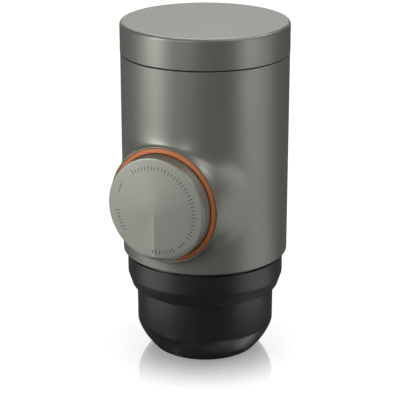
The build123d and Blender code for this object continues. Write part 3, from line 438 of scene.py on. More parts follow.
@dataclass(frozen=True)
class GrainedSurface:
    """An opaque surface with a fine grain.

    The grain breaks the highlight into a soft satin, and the wall's slow changes of
    gloss keep a large face from looking drawn. The real grain is about a tenth of a
    millimetre, too fine to show, so it is drawn some four times as coarse.
    """

    name: str
    colour: str
    roughness: float
    specular: float = 0.5
    metallic: float = 0.0
    edge: float = 1.0           # a metallic paint's reflection at grazing angles
    grain: float = 0.45         # width of a grain
    depth: float = 0.006        # height of a grain
    patch: float = 16.0         # width of a patch of other gloss
    gloss_change: float = 0.05
    tone_change: float = 0.03

    def material(self) -> Material:
        """Builds the finish.

        Returns:
            Its material.
        """
        material, tree, place = new_material(self.name)
        fine = {"Scale": 1 / (self.grain * MM), "Detail": 2.0}
        coarse = {"Scale": 1 / (self.patch * MM), "Detail": 1.0}
        grain = add_node(tree, "ShaderNodeTexNoise", fine, {"Vector": place}).outputs["Fac"]
        patches = add_node(tree, "ShaderNodeTexNoise", coarse, {"Vector": place}).outputs["Fac"]
        height = {"Strength": 1.0, "Distance": self.depth * MM}
        bump = add_node(tree, "ShaderNodeBump", height, {"Height": grain})
        ends = {3: self.roughness - self.gloss_change, 4: self.roughness + self.gloss_change}
        gloss = add_node(tree, "ShaderNodeMapRange", ends, {"Value": patches})
        tones = {
            "data_type": "RGBA",
            6: tint(self.colour, 1 - self.tone_change),
            7: tint(self.colour, 1 + self.tone_change),
        }
        tone = add_node(tree, "ShaderNodeMix", tones, {0: grain})
        constants = {
            "Metallic": self.metallic,
            "Specular IOR Level": self.specular,
            "Specular Tint": (self.edge, self.edge, self.edge, 1.0),
        }
        patterns = {
            "Base Color": tone.outputs[2],
            "Roughness": gloss.outputs["Result"],
            "Normal": bump.outputs["Normal"],
        }
        set_node(tree, tree.nodes["Principled BSDF"], constants, patterns)
        return material


@dataclass(frozen=True)
class MouldedPlastic(GrainedSurface):
    """Moulded plastic with the spark-eroded grain of its tool."""


@dataclass(frozen=True)
class SatinPaint(GrainedSurface):
    """Metallic satin paint over moulded ABS: broad soft highlights, no sparkle at arm's length."""

    roughness: float = 0.37
    metallic: float = 0.54
    edge: float = 0.5


@dataclass(frozen=True)
class DrawnSteel(GrainedSurface):
    """Drawn spring wire and pressed screws: bright, with hardly any grain and no rings."""

    colour: str = "#bdbcb8"
    roughness: float = 0.26
    metallic: float = 1.0
    depth: float = 0.002


@dataclass(frozen=True)
class TurnedSteel:
    """Stainless steel with the fine rings that turning or spinning leaves.

    The rings stretch each highlight along the turn. Real rings are finer than a
    twentieth of a millimetre, so these are drawn coarser.
    """

    name: str
    colour: str = "#c9c8c4"
    roughness: float = 0.28
    pitch: float = 0.3          # distance between two rings
    depth: float = 0.004        # height of a ring
    seat: Seat = Seat.MAIN
    pump_height: float = 0.0    # height of the pump's axis in metres
    gloss_change: float = 0.08

    def material(self) -> Material:
        """Builds the finish.

        Returns:
            Its material.
        """
        material, tree, place = new_material(self.name)
        mapping = {}
        if self.seat is Seat.PUMP:
            mapping = {"Location": (0, -self.pump_height, 0), "Rotation": (-math.pi / 2, 0, 0)}
        centred = add_node(tree, "ShaderNodeMapping", mapping, {"Vector": place}).outputs["Vector"]
        x, y, z = add_node(tree, "ShaderNodeSeparateXYZ", {}, {0: centred}).outputs
        flat = add_node(tree, "ShaderNodeCombineXYZ", {}, {"X": x, "Y": y}).outputs["Vector"]
        radius = add_node(tree, "ShaderNodeVectorMath", {"operation": "LENGTH"}, {0: flat}).outputs["Value"]
        along = add_node(tree, "ShaderNodeCombineXYZ", {}, {"X": radius, "Z": z}).outputs["Vector"]
        fine = {"Scale": 1 / (self.pitch * MM), "Detail": 3.0}
        rings = add_node(tree, "ShaderNodeTexNoise", fine, {"Vector": along}).outputs["Fac"]
        height = {"Strength": 1.0, "Distance": self.depth * MM}
        bump = add_node(tree, "ShaderNodeBump", height, {"Height": rings})
        ends = {3: self.roughness - self.gloss_change, 4: self.roughness + self.gloss_change}
        gloss = add_node(tree, "ShaderNodeMapRange", ends, {"Value": rings})
        constants = {"Base Color": linear(self.colour), "Metallic": 1.0}
        patterns = {"Roughness": gloss.outputs["Result"], "Normal": bump.outputs["Normal"]}
        set_node(tree, tree.nodes["Principled BSDF"], constants, patterns)
        return material


@dataclass(frozen=True)
class SmokedCopolyester:
    """Smoked clear copolyester, polished in the tool.

    Light passes a thin wall and dies in a thick one, so edges look darker.
    """

    name: str
    colour: str = "#5c5d60"
    roughness: float = 0.12
    transmission: float = 0.65
    ior: float = 1.56
    ripple: float = 9.0         # width of a flow ripple
    depth: float = 0.03         # height of a flow ripple
    strength: float = 0.6       # how much of it the light follows

    def material(self) -> Material:
        """Builds the finish.

        Returns:
            Its material.
        """
        material, tree, place = new_material(self.name)
        coarse = {"Scale": 1 / (self.ripple * MM), "Detail": 1.0}
        ripple = add_node(tree, "ShaderNodeTexNoise", coarse, {"Vector": place}).outputs["Fac"]
        height = {"Strength": self.strength, "Distance": self.depth * MM}
        bump = add_node(tree, "ShaderNodeBump", height, {"Height": ripple})
        constants = {
            "Base Color": linear(self.colour),
            "Roughness": self.roughness,
            "Transmission Weight": self.transmission,
            "IOR": self.ior,
        }
        set_node(tree, tree.nodes["Principled BSDF"], constants, {"Normal": bump.outputs["Normal"]})
        return material


# ------------------------------------------------------------------ barrel
@dataclass
class Barrel:
    """The shell: a slightly tapered barrel that flares out into the knob's boss."""

    radius: float = 34.4
    foot_radius: float = 34.25
    bore: float = 32.8
    top: float = 127.3
    rim_round: float = 0.3
    rebate: float = 0.8         # seat of the tank's lip, wider than the bore
    rebate_depth: float = 1.0
    foot: float = 43.4
    foot_round: float = 0.5
    foot_inner_round: float = 0.2
    axis: float = 72.4          # height of the pump's axis
    boss_bore: float = 23.5
    lip_radius: float = 24.1    # where the flare starts, at the boss's front
    lip_front: float = 36.0
    lip_round: float = 0.25
    flare_side: float = 31.0    # reach of the flare to the side
    flare_up: float = 34.0
    flare_down: float = 28.0
    flare_draft: float = 0.1    # slope of the boss's side
    side_hug: float = 0.55      # how far the flare hugs its corner, 1 being sharp, at the sides
    top_hug: float = 0.88       # and above and below the knob
    flare_rings: int = 16
    spread_rings: int = 7
    patch_angle: float = 66.0   # degrees each side of the front that the boss's patch covers
    top_sides: int = 38         # sides of the boss's ring that face up
    flank_sides: int = 48       # and to each side
    back_steps: int = 90

    def barrel_radius(self, height: float) -> float:
        """Gives the outside radius of the barrel at a height."""
        share = (height - self.foot) / (self.top - self.foot)
        return self.foot_radius + (self.radius - self.foot_radius) * share

    def direction(self, index: int) -> float:
        """Gives the angle about the pump's axis of a point of the boss's ring."""
        first = 90 - self.top_sides * 180 / SEGMENTS
        return math.radians(first - index * 360 / SEGMENTS)

    def patch_edge(self, index: int, low: float, high: float) -> Point:
        """Gives the place on the patch's rectangular edge of a point of the boss's ring.

        Args:
            index: number of the point, clockwise from the upper right corner.
            low: height of the patch's lower side.
            high: height of its upper side.

        Returns:
            Angle about the main axis in radians, from the front, and height.
        """
        half = math.radians(self.patch_angle)
        right = self.flank_sides
        left = SEGMENTS - self.flank_sides - self.top_sides
        if index <= right:
            return half, high + (low - high) * index / right
        if index <= left:
            return half - 2 * half * (index - right) / (left - right), low
        if index <= left + self.flank_sides:
            return -half, low + (high - low) * (index - left) / self.flank_sides
        return -half + 2 * half * (index - left - self.flank_sides) / self.top_sides, high

    def flare_foot(self, turn: float) -> tuple[float, float, float]:
        """Gives where the flare meets the barrel.

        Args:
            turn: angle about the pump's axis in radians.

        Returns:
            Distance from the pump's axis, reach from the main axis, and the slope there.
        """
        rise = self.flare_up if math.sin(turn) > 0 else self.flare_down
        side = self.flare_side
        distance = side * rise / math.hypot(rise * math.cos(turn), side * math.sin(turn))
        across = distance * math.cos(turn)
        radius = self.barrel_radius(self.axis + distance * math.sin(turn))
        reach = math.sqrt(radius**2 - across**2)
        return distance, reach, -across * math.cos(turn) / reach

    def flare_point(self, turn: float, share: float) -> Place:
        """Gives a point of the flare, on a curve that meets the barrel smoothly.

        Args:
            turn: angle about the pump's axis in radians.
            share: 0 at the lip, 1 on the barrel.

        Returns:
            The point's place.
        """
        distance, reach, slope = self.flare_foot(turn)
        start = Vector((self.lip_radius, self.lip_front - self.lip_round))
        end = Vector((distance, reach))
        run, rise = end - start
        drop = (slope * run - rise) / (1 + slope * self.flare_draft)
        corner = start + Vector((self.flare_draft, -1)) * drop
        hug = self.side_hug + (self.top_hug - self.side_hug) * math.sin(turn) ** 2
        first, second = start.lerp(corner, hug), end.lerp(corner, hug)
        rest = 1 - share
        point = start * rest**3 + first * 3 * rest**2 * share + second * 3 * rest * share**2 + end * share**3
        return point.x * math.cos(turn), -point.y, self.axis + point.x * math.sin(turn)

    def spread(self, start: Sequence[Place], low: float, high: float,
               radius: Optional[float] = None) -> list[list[Place]]:
        """Gives the rings on the wall from a line round the boss out to the patch's edge.

        Args:
            start: places of the points of the line, which isn't among the rings.
            low: height of the patch's lower side.
            high: height of its upper side.
            radius: radius of the wall, or None for the barrel's own outside.

        Returns:
            The places of the points of each ring.
        """
        rings = []
        for number in range(1, self.spread_rings + 1):
            share = number / self.spread_rings
            ring = []
            for index, (x, y, z) in enumerate(start):
                angle, height = math.atan2(x, -y), z
                to_angle, to_height = self.patch_edge(index, low, high)
                angle += (to_angle - angle) * share
                height += (to_height - height) * share
                wall = radius or self.barrel_radius(height)
                ring.append((wall * math.sin(angle), -wall * math.cos(angle), height))
            rings.append(ring)
        return rings

    def skin(self, name: str, rings: Sequence[Sequence[Place]]) -> Object:
        """Models one side of the shell, from the boss outwards and round the back.

        Args:
            name: name of the new object.
            rings: places of the points of each ring, from the boss to the patch's edge.

        Returns:
            The new object, in edit mode, open at its top, its foot and the boss.
        """
        piece = new_ring(name, self.boss_bore, 0)
        ring = list(range(SEGMENTS))
        for number, places in enumerate(rings):
            if number:
                bpy.ops.mesh.extrude_edges_move()
            mesh = bmesh.from_edit_mesh(piece.data)
            mesh.verts.ensure_lookup_table()
            if number:
                ring = [self.outer_end(mesh.verts[point]) for point in ring]
            for point, place in zip(ring, places):
                mesh.verts[point].co = place
            bmesh.update_edit_mesh(piece.data)
        angle = math.radians(self.patch_angle)
        select_edges(piece, lambda co: abs(math.atan2(co.x, -co.y) - angle) < SAME_TURN)
        spin(self.back_steps, 2 * (math.pi - angle))
        bpy.ops.mesh.select_all(action="SELECT")
        bpy.ops.mesh.remove_doubles(threshold=WELD)
        return piece

    @staticmethod
    def outer_end(point: bmesh.types.BMVert) -> int:
        """Gives the number of the point that a point was extruded to."""
        return max(edge.other_vert(point).index for edge in point.link_edges)

    def outside(self) -> Object:
        """Models the outside skin with its rim and its foot.

        Returns:
            The new object, in edit mode, open at its bore and the boss's lip.
        """
        low, high = self.foot + self.foot_round, self.top - self.rim_round
        turns = [self.direction(index) for index in range(SEGMENTS)]
        shares = [number / self.flare_rings for number in range(self.flare_rings + 1)]
        flare = [[self.flare_point(turn, share) for turn in turns] for share in shares]
        piece = self.skin("barrel_shell", [*flare, *self.spread(flare[-1], low, high)])
        run_loop(piece, rounded([
            (self.barrel_radius(high), high - GUIDE),
            (self.barrel_radius(high), self.top, self.rim_round),
            (self.bore + self.rebate, self.top),
            (self.bore + self.rebate, self.top - self.rebate_depth),
            (self.bore, self.top - self.rebate_depth),
        ])[1:])
        run_loop(piece, self.foot_outline())
        return piece

    def foot_outline(self) -> list[Point]:
        """Gives the round foot.

        Returns:
            Its points as radius and height, from the barrel's side in to its bore.
        """
        side = self.barrel_radius(self.foot + self.foot_round)
        return rounded([
            (side, self.foot + GUIDE),
            (side, self.foot, self.foot_round),
            (self.bore, self.foot, self.foot_inner_round),
            (self.bore, self.foot + GUIDE),
        ])[1:-1]

    def lip(self, piece: Object) -> None:
        """Runs the boss's lip from the flare round into the bore.

        Args:
            piece: the outside skin, in edit mode.
        """
        outline = rounded([
            (self.lip_radius, self.lip_front - GUIDE),
            (self.lip_radius, self.lip_front, self.lip_round),
            (self.boss_bore, self.lip_front, self.lip_round),
            (self.boss_bore, self.lip_front - GUIDE),
        ], steps=4)[1:-1]
        front = self.lip_front - self.lip_round
        select_edges(piece, lambda co: abs(co.y + front) < WELD
                      and abs(math.hypot(co.x, co.z - self.axis) - self.lip_radius) < NEAR)
        for old, new in zip(outline, outline[1:]):
            bpy.ops.mesh.extrude_edges_move(TRANSFORM_OT_translate={"value": (0, old[1] - new[1], 0)})
            scale = new[0] / old[0]
            bpy.ops.transform.resize(value=(scale, 1, scale), center_override=(0, 0, self.axis))

    def inside(self) -> Object:
        """Models the bore's wall with the hole where the boss comes through.

        Returns:
            The new object, in edit mode.
        """
        low = self.foot_outline()[-1][1]
        high = self.top - self.rebate_depth
        hole = []
        for index in range(SEGMENTS):
            turn = self.direction(index)
            across = self.boss_bore * math.cos(turn)
            depth = math.sqrt(self.bore**2 - across**2)
            hole.append((across, -depth, self.axis + self.boss_bore * math.sin(turn)))
        return self.skin("barrel_inside", [hole, *self.spread(hole, low, high, self.bore)])

    def build(self, material: Material) -> None:
        """Args:
            material: the shell's finish.
        """
        outside = self.outside()
        self.lip(outside)
        only(outside)
        inside = self.inside()
        only(inside)
        piece = join(outside, inside)
        bpy.ops.object.mode_set(mode="EDIT")
        bpy.ops.mesh.select_all(action="SELECT")
        bpy.ops.mesh.remove_doubles(threshold=WELD)
        bpy.ops.mesh.select_all(action="DESELECT")
        bpy.ops.mesh.select_non_manifold(use_non_contiguous=False)
        bpy.ops.mesh.bridge_edge_loops()
        close_shell(piece)
        smooth(piece)
        settle(piece, Seat.MAIN)
        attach(piece, Body.CASING.value)
        declare(piece, material, "shell_grey", "outer_shell")


# ------------------------------------------------------------------ lid
@dataclass
class Lid:
    """The lid's grey cap."""

    radius: float = 34.5
    low: float = 127.8
    high: float = 140.3
    wall: float = 1.9
    top_wall: float = 1.8
    top_round: float = 1.3
    top_margin: float = 6.0     # from the last ring of the flat top to the side
    foot_round: float = 0.2
    ribs: int = 6
    rib_width: float = 3.0
    rib_low: float = 129.8
    rib_height: float = 6.0
    rib_inner: float = 31.3
    rib_sink: float = 0.5       # how far a rib reaches into the wall
    rib_bevel: float = 0.15

    def build(self, material: Material) -> None:
        """Args:
            material: the lid's finish.
        """
        inner = self.radius - self.wall
        ceiling = self.high - self.top_wall
        cap = turned("lid_cap", [
            (0, self.high),
            *rounded([
                (self.radius - self.top_margin, self.high),
                (self.radius, self.high, self.top_round),
                (self.radius, self.low, self.foot_round),
                (inner, self.low, self.foot_round),
                (inner, ceiling),
            ]),
            (0, ceiling),
        ])
        piece = join(cap, *[self.rib(index) for index in range(self.ribs)])
        smooth(piece)
        settle(piece, Seat.MAIN)
        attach(piece, Body.LID.value)
        declare(piece, material, "lid_grey", "lid_cover")

    def rib(self, index: int) -> Object:
        """Models one rib on the cap's inside.

        Args:
            index: number of the rib.

        Returns:
            The new object.
        """
        inner = self.radius - self.wall
        place = ((inner + self.rib_inner) / 2, 0, self.rib_low + self.rib_height / 2)
        bpy.ops.object.select_all(action="DESELECT")
        bpy.ops.mesh.primitive_cube_add(size=1, location=place)
        rib = bpy.context.object
        rib.scale = (inner + self.rib_sink - self.rib_inner, self.rib_width, self.rib_height)
        apply_place()
        bpy.ops.object.mode_set(mode="EDIT")
        bpy.ops.mesh.bevel(offset=self.rib_bevel, segments=2, affect="EDGES")
        only(rib)
        rib.rotation_euler.z = 2 * math.pi * index / self.ribs
        apply_place()
        return rib


# ------------------------------------------------------------------ knob and collar
@dataclass
class Knob:
    """The plunger's knob: a cap whose face is a very flat cone with one fold."""

    radius: float = 21.4
    wall: float = 1.6
    front: float = 42.5
    face_wall: float = 2.0
    rear: float = 19.5
    edge_round: float = 0.7
    skirt_round: float = 0.2
    face_rings: tuple[float, ...] = (4.0, 10.0, 16.0)
    dish: float = 1.2           # height of the cone
    fold_turn: float = -90.0    # degrees, direction of the fold, straight down
    fold_lift: float = 0.05     # rise of the face at the fold, a share of the distance from the axis
    fold_left: float = 45.0     # degrees over which the rise fades to the left
    fold_right: float = 80.0    # and to the right
    fold_fade: float = 1.2      # the fold dies out this near the edge
    lugs: int = 3
    lug_angle: float = 15.0
    lug_length: float = 1.8
    lug_depth: float = 1.5
    boss_circle: float = 14.0
    boss_radius: float = 3.0
    boss_rear: float = 36.5
    boss_sink: float = 0.3      # how far a boss reaches into the face's wall
    boss_turn: float = 30.0     # degrees, direction of the first boss
    screw_hole: float = 1.15

    @property
    def rim(self) -> float:
        """Radius where the face ends and its round edge starts."""
        return self.radius - self.edge_round

    def fold_height(self, turn: float, distance: float) -> float:
        """Gives how far the fold lifts the face.

        Args:
            turn: angle about the knob's axis in degrees.
            distance: distance from the axis.

        Returns:
            The lift.
        """
        away = (turn - self.fold_turn + 180) % 360 - 180
        spread = self.fold_right if away > 0 else self.fold_left
        rest = max(0.0, 1 - abs(away) / spread)
        room = (self.rim - distance) / self.fold_fade
        fade = min(1.0, max(0.0, room))
        return distance * self.fold_lift * rest**2 * fade

    def face_height(self, turn: float, distance: float) -> float:
        """Gives the reach of the face at an angle in degrees and a distance from the axis."""
        return self.front + self.dish * (1 - distance / self.rim) + self.fold_height(turn, distance)

    def build(self, material: Material, pump_height: float) -> None:
        """Args:
            material: the knob's finish.
            pump_height: height of the pump's axis in metres.
        """
        inner = self.radius - self.wall
        back = self.front - self.face_wall
        face = [(distance, self.front) for distance in (*self.face_rings, self.rim - self.fold_fade)]
        cap = turned("knob_cap", [
            (0, self.front),
            *face,
            *rounded([
                (self.rim - self.fold_fade / 2, self.front),
                (self.radius, self.front, self.edge_round),
                (self.radius, self.rear + self.lug_length),
                (self.radius, self.rear, self.skirt_round),
                (inner, self.rear, self.skirt_round),
                (inner, back),
            ]),
            (0, back),
        ])
        self.raise_face(cap)
        self.add_lugs(cap)
        piece = join(cap, *[self.boss(index) for index in range(self.lugs)])
        smooth(piece)
        self.crease_fold(piece)
        settle(piece, Seat.PUMP, pump_height)
        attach(piece, Body.KNOB.value)
        declare(piece, material, "knob_grey", "piston_knob")

    def raise_face(self, cap: Object) -> None:
        """Lifts the points of the flat face to the cone and its fold.

        Args:
            cap: the knob's cap.
        """
        for point in cap.data.vertices:
            distance = point.co.xy.length
            if point.co.z > self.front - WELD and distance <= self.rim + WELD:
                turn = math.degrees(math.atan2(point.co.y, point.co.x))
                point.co.z = self.face_height(turn, distance)

    def crease_fold(self, cap: Object) -> None:
        """Marks the edges along the fold sharp.

        Args:
            cap: the knob, shaded smooth.
        """
        bpy.ops.object.mode_set(mode="EDIT")
        turn = math.radians(self.fold_turn)
        reach = self.rim - self.fold_fade / 2 + WELD
        select_edges(cap, lambda co: co.z > self.front and co.xy.length <= reach
                      and abs(co.x * math.sin(turn) - co.y * math.cos(turn)) < WELD
                      and co.x * math.cos(turn) + co.y * math.sin(turn) > -WELD)
        bpy.ops.mesh.mark_sharp()
        only(cap)

    def add_lugs(self, cap: Object) -> None:
        """Raises the bayonet lugs from the end of the skirt.

        Args:
            cap: the knob's cap.
        """
        only(cap)
        bpy.ops.object.mode_set(mode="EDIT")
        bpy.ops.mesh.select_mode(type="FACE")
        mesh = bmesh.from_edit_mesh(cap.data)
        bpy.ops.mesh.select_all(action="DESELECT")
        step = 360 / self.lugs
        for face in mesh.faces:
            middle = face.calc_center_median()
            turn = math.degrees(math.atan2(middle.y, middle.x))
            away = abs((turn + step / 2) % step - step / 2)
            on_side = middle.xy.length > self.radius - self.skirt_round
            at_end = middle.z < self.rear + self.lug_length
            face.select_set(on_side and at_end and away < self.lug_angle / 2)
        bmesh.update_edit_mesh(cap.data)
        bpy.ops.mesh.extrude_region_move()
        scale = (self.radius + self.lug_depth) / self.radius
        bpy.ops.transform.resize(value=(scale, scale, 1), center_override=(0, 0, 0))
        close_shell(cap)

    def boss(self, index: int) -> Object:
        """Models one screw boss behind the face.

        Args:
            index: number of the boss.

        Returns:
            The new object.
        """
        back = self.front - self.face_wall + self.boss_sink
        boss = turned("knob_boss", [
            (self.screw_hole, self.boss_rear),
            (self.boss_radius, self.boss_rear),
            (self.boss_radius, back),
            (self.screw_hole, back),
        ], closed=True)
        turn = math.radians(self.boss_turn + 360 / self.lugs * index)
        boss.location = (self.boss_circle * math.cos(turn), self.boss_circle * math.sin(turn), 0)
        only(boss)
        apply_place()
        return boss


@dataclass
class KnobMarks:
    """Printed turning scale round the knob's face: ticks, and two thin arcs."""

    knob: Knob
    circle: float = 17.2        # radius of the scale's middle
    tick: float = 1.5           # length of a tick
    long_tick: float = 2.2
    tick_angle: float = 0.9     # degrees that a tick covers
    tick_step: float = 5.0      # degrees between ticks
    tick_runs: tuple[tuple[float, float], ...] = ((125, -32), (-62, -93), (188, 216))
    long_every: int = 5
    ink: float = 0.03           # how far the ink stands out
    ink_sink: float = 0.09      # and how far it reaches into the face
    arc_width: float = 0.28
    arc_angle: float = 14.0
    arc_turns: tuple[float, float] = (155, -47)
    straight: float = 2.0       # degrees in one straight piece of a bar
    fewest: int = 2             # straight pieces of a bar

    def bar(self, turn: float, sweep: float, length: float) -> Object:
        """Models one printed bar.

        Args:
            turn: angle about the knob's axis of its middle, in degrees.
            sweep: degrees that it covers.
            length: its size along the radius.

        Returns:
            The new object.
        """
        bpy.ops.object.select_all(action="DESELECT")
        bpy.ops.mesh.primitive_plane_add(
            size=1, location=(self.circle, 0, (self.ink - self.ink_sink) / 2), rotation=(math.pi / 2, 0, 0)
        )
        bar = bpy.context.object
        bar.scale = (length, self.ink + self.ink_sink, 1)
        apply_place()
        bpy.ops.object.mode_set(mode="EDIT")
        spin(max(self.fewest, round(sweep / self.straight)), math.radians(sweep))
        close_shell(bar)
        bar.rotation_euler.z = math.radians(turn - sweep / 2)
        apply_place()
        for point in bar.data.vertices:
            place = math.degrees(math.atan2(point.co.y, point.co.x))
            point.co.z += self.knob.face_height(place, point.co.xy.length)
        return bar

    def build(self, material: Material, pump_height: float) -> None:
        """Args:
            material: the ink.
            pump_height: height of the pump's axis in metres.
        """
        bars = []
        for first, last in self.tick_runs:
            count = round(abs(last - first) / self.tick_step)
            for index in range(count + 1):
                length = self.tick if index % self.long_every else self.long_tick
                turn = first + (last - first) * index / count
                bars.append(self.bar(turn, self.tick_angle, length))
        for turn in self.arc_turns:
            bars.append(self.bar(turn, self.arc_angle, self.arc_width))
        piece = join(*bars)
        piece.name = piece.data.name = "knob_scale"
        settle(piece, Seat.PUMP, pump_height)
        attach(piece, Body.KNOB.value)
        declare(piece, material, "knob_grey")


@dataclass
class Collar:
    """The orange ring in the mouth of the boss."""

    bore: float = 21.7
    radius: float = 23.4
    rear: float = 35.5
    front: float = 36.6
    bevel: float = 0.7
    flat: float = 0.5
    side_round: float = 0.2
    front_round: float = 0.3
    bore_round: float = 0.1

    def build(self, material: Material, pump_height: float) -> None:
        """Args:
            material: the ring's finish.
            pump_height: height of the pump's axis in metres.
        """
        outline = rounded([
            (self.bore, self.rear),
            (self.radius, self.rear),
            (self.radius, self.front - self.bevel, self.side_round),
            (self.bore + self.flat, self.front, self.front_round),
            (self.bore, self.front, self.bore_round),
        ], steps=4)
        piece = turned("collar_trim", outline, closed=True)
        smooth(piece)
        settle(piece, Seat.PUMP, pump_height)
        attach(piece, Body.CASING.value)
        declare(piece, material, "collar_orange", "collar_ring")


# ------------------------------------------------------------------ cup
@dataclass
class Cup:
    """The black cup: a wide grip band over a slimmer body with a slanted foot."""

    radius: float = 32.5
    body_radius: float = 28.7
    body_draft: float = 0.1     # how much slimmer the body is at its foot
    wall: float = 1.8
    height: float = 45.8
    rim_round: float = 0.5
    rim_depth: float = 3.0      # from the rim to the first ring inside
    step: float = 27.2          # height where the body meets the grip band
    step_rise: float = 1.1
    step_round: float = 0.3
    step_inset: float = 1.7     # how far the band's lower edge is set in from its side
    band_low_round: float = 0.35
    band_straight: float = 33.4  # the band slopes in below this height
    band_round: float = 4.0
    groove_low: float = 41.75   # shadow groove under the shell's foot
    groove_high: float = 43.2
    groove_depth: float = 0.8
    groove_round: float = 0.15
    slant_high: float = 11.6
    slant_inset: float = 6.9
    slant_bulge: float = 0.9
    crease_round: float = 4.0
    foot_edge: float = 0.6
    foot_inset: float = 1.0     # from the slant's lower end to the foot's flat ring
    foot_width: float = 3.6
    foot_outer_round: float = 0.5
    foot_inner_round: float = 0.3
    recess: float = 0.5         # hollow under the cup
    recess_draft: float = 0.5
    recess_round: float = 0.4
    recess_ring: float = 1.5    # from the hollow's wall to its last ring
    floor: float = 2.2
    floor_round: float = 1.0
    floor_ring: float = 6.0     # from the floor's edge to its last ring
    inner_shift: float = 0.6    # how much the hollow's slant lies in and up from the outside's
    inner_draft: float = 0.45   # how much the inside widens up to the step
    inner_step_low: float = 1.0  # how much higher the step's edges lie inside
    inner_step_high: float = 1.3
    inner_step_out: float = 0.1
    inner_step_round: float = 0.5
    ledge_round: float = 1.0
    inner_band_round: float = 2.0

    def outside(self) -> list[Point]:
        """Gives the cup's outside.

        Returns:
            Its points as radius and height, from near the axis under the cup up to its rim.
        """
        slant_low = (self.body_radius - self.slant_inset, self.foot_edge)
        slant_high = (self.body_radius - self.body_draft, self.slant_high)
        slant = bulged(slant_low, slant_high, self.slant_bulge)
        foot = slant_low[0] - self.foot_inset
        recess = foot - self.foot_width - self.recess_draft
        neck = self.radius - self.groove_depth
        inner = self.radius - self.wall
        return rounded([
            (recess - self.recess_ring, self.recess),
            (recess, self.recess, self.recess_round),
            (foot - self.foot_width, 0, self.foot_inner_round),
            (foot, 0, self.foot_outer_round),
            *slant[:-1],
            (*slant[-1], self.crease_round),
            (self.body_radius, self.step, self.step_round),
            (self.radius - self.step_inset, self.step + self.step_rise, self.band_low_round),
            (self.radius, self.band_straight, self.band_round),
            (self.radius, self.groove_low, self.groove_round),
            (neck, self.groove_low),
            (neck, self.groove_high),
            (self.radius, self.groove_high, self.groove_round),
            (self.radius, self.height, self.rim_round),
            (inner, self.height, self.rim_round),
            (inner, self.height - GUIDE),
        ])[:-1]

    def inside(self) -> list[Point]:
        """Gives the cup's hollow.

        Returns:
            Its points as radius and height, from the rim down to the axis.
        """
        body = self.body_radius - self.wall
        band = self.radius - self.wall
        slant_low = (body - self.slant_inset + self.inner_shift, self.floor)
        slant_high = (body, self.slant_high + self.inner_shift)
        slant = bulged(slant_low, slant_high, self.slant_bulge)
        ledge = self.step + self.step_rise + self.inner_step_high
        upward = rounded([
            (slant_low[0] - self.floor_ring, self.floor),
            (*slant[0], self.floor_round),
            *slant[1:],
            (body + self.inner_draft, self.step + self.inner_step_low, self.inner_step_round),
            (band - self.step_inset + self.inner_step_out, ledge, self.ledge_round),
            (band, self.band_straight + self.inner_step_low, self.inner_band_round),
            (band, self.height - self.rim_depth),
        ])
        return [*upward[::-1], (0, self.floor)]

    def build(self, material: Material) -> None:
        """Args:
            material: the cup's finish.
        """
        piece = turned("cup_body", [(0, self.recess), *self.outside(), *self.inside()])
        smooth(piece)
        settle(piece, Seat.MAIN)
        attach(piece, Body.CUP.value)
        declare(piece, material, "cup_black", "drinking_cup")


# ------------------------------------------------------------------ springs
@dataclass
class CoilSpring:
    """A round-wire spring, wound in the place of a CAD node."""

    node: str                   # CAD node that it stands for, which gives its place
    seat: Seat
    pushes: Body
    radius: float               # of the wire's middle
    wire: float                 # diameter of the wire
    turns: float
    wire_sides: int = 12
    turn_steps: int = 48

    def build(self, material: Material, pump_height: float) -> None:
        """Args:
            material: the spring's finish.
            pump_height: height of the pump's axis in metres.
        """
        low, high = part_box(self.node)
        middle = (low + high) / 2
        if self.seat is Seat.PUMP:
            place, length = (0, 0, -high.y / MM), (high.y - low.y) / MM
        else:
            place, length = (middle.x / MM, middle.y / MM, low.z / MM), (high.z - low.z) / MM
        piece = self.coil(length)
        piece.location = place
        apply_place()
        smooth(piece)
        settle(piece, self.seat, pump_height)
        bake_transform(piece)
        declare(piece, material, "steel", self.node)

    def coil(self, length: float) -> Object:
        """Winds the wire up from height 0 about the Z axis.

        Args:
            length: length of the spring.

        Returns:
            The new object.
        """
        bpy.ops.object.select_all(action="DESELECT")
        bpy.ops.mesh.primitive_circle_add(
            vertices=self.wire_sides, radius=self.wire / 2, location=(self.radius, 0, self.wire / 2),
            rotation=(math.pi / 2, 0, 0)
        )
        piece = bpy.context.object
        piece.name = piece.data.name = f"{self.node}_coil"
        apply_place()
        winding = piece.modifiers.new("winding", "SCREW")
        winding.angle = 2 * math.pi * self.turns
        winding.screw_offset = length - self.wire
        winding.steps = winding.render_steps = round(self.turns * self.turn_steps)
        bpy.ops.object.modifier_apply(modifier=winding.name)
        bpy.ops.object.mode_set(mode="EDIT")
        bpy.ops.mesh.select_all(action="SELECT")
        bpy.ops.mesh.fill_holes(sides=0)
        close_shell(piece)
        return piece


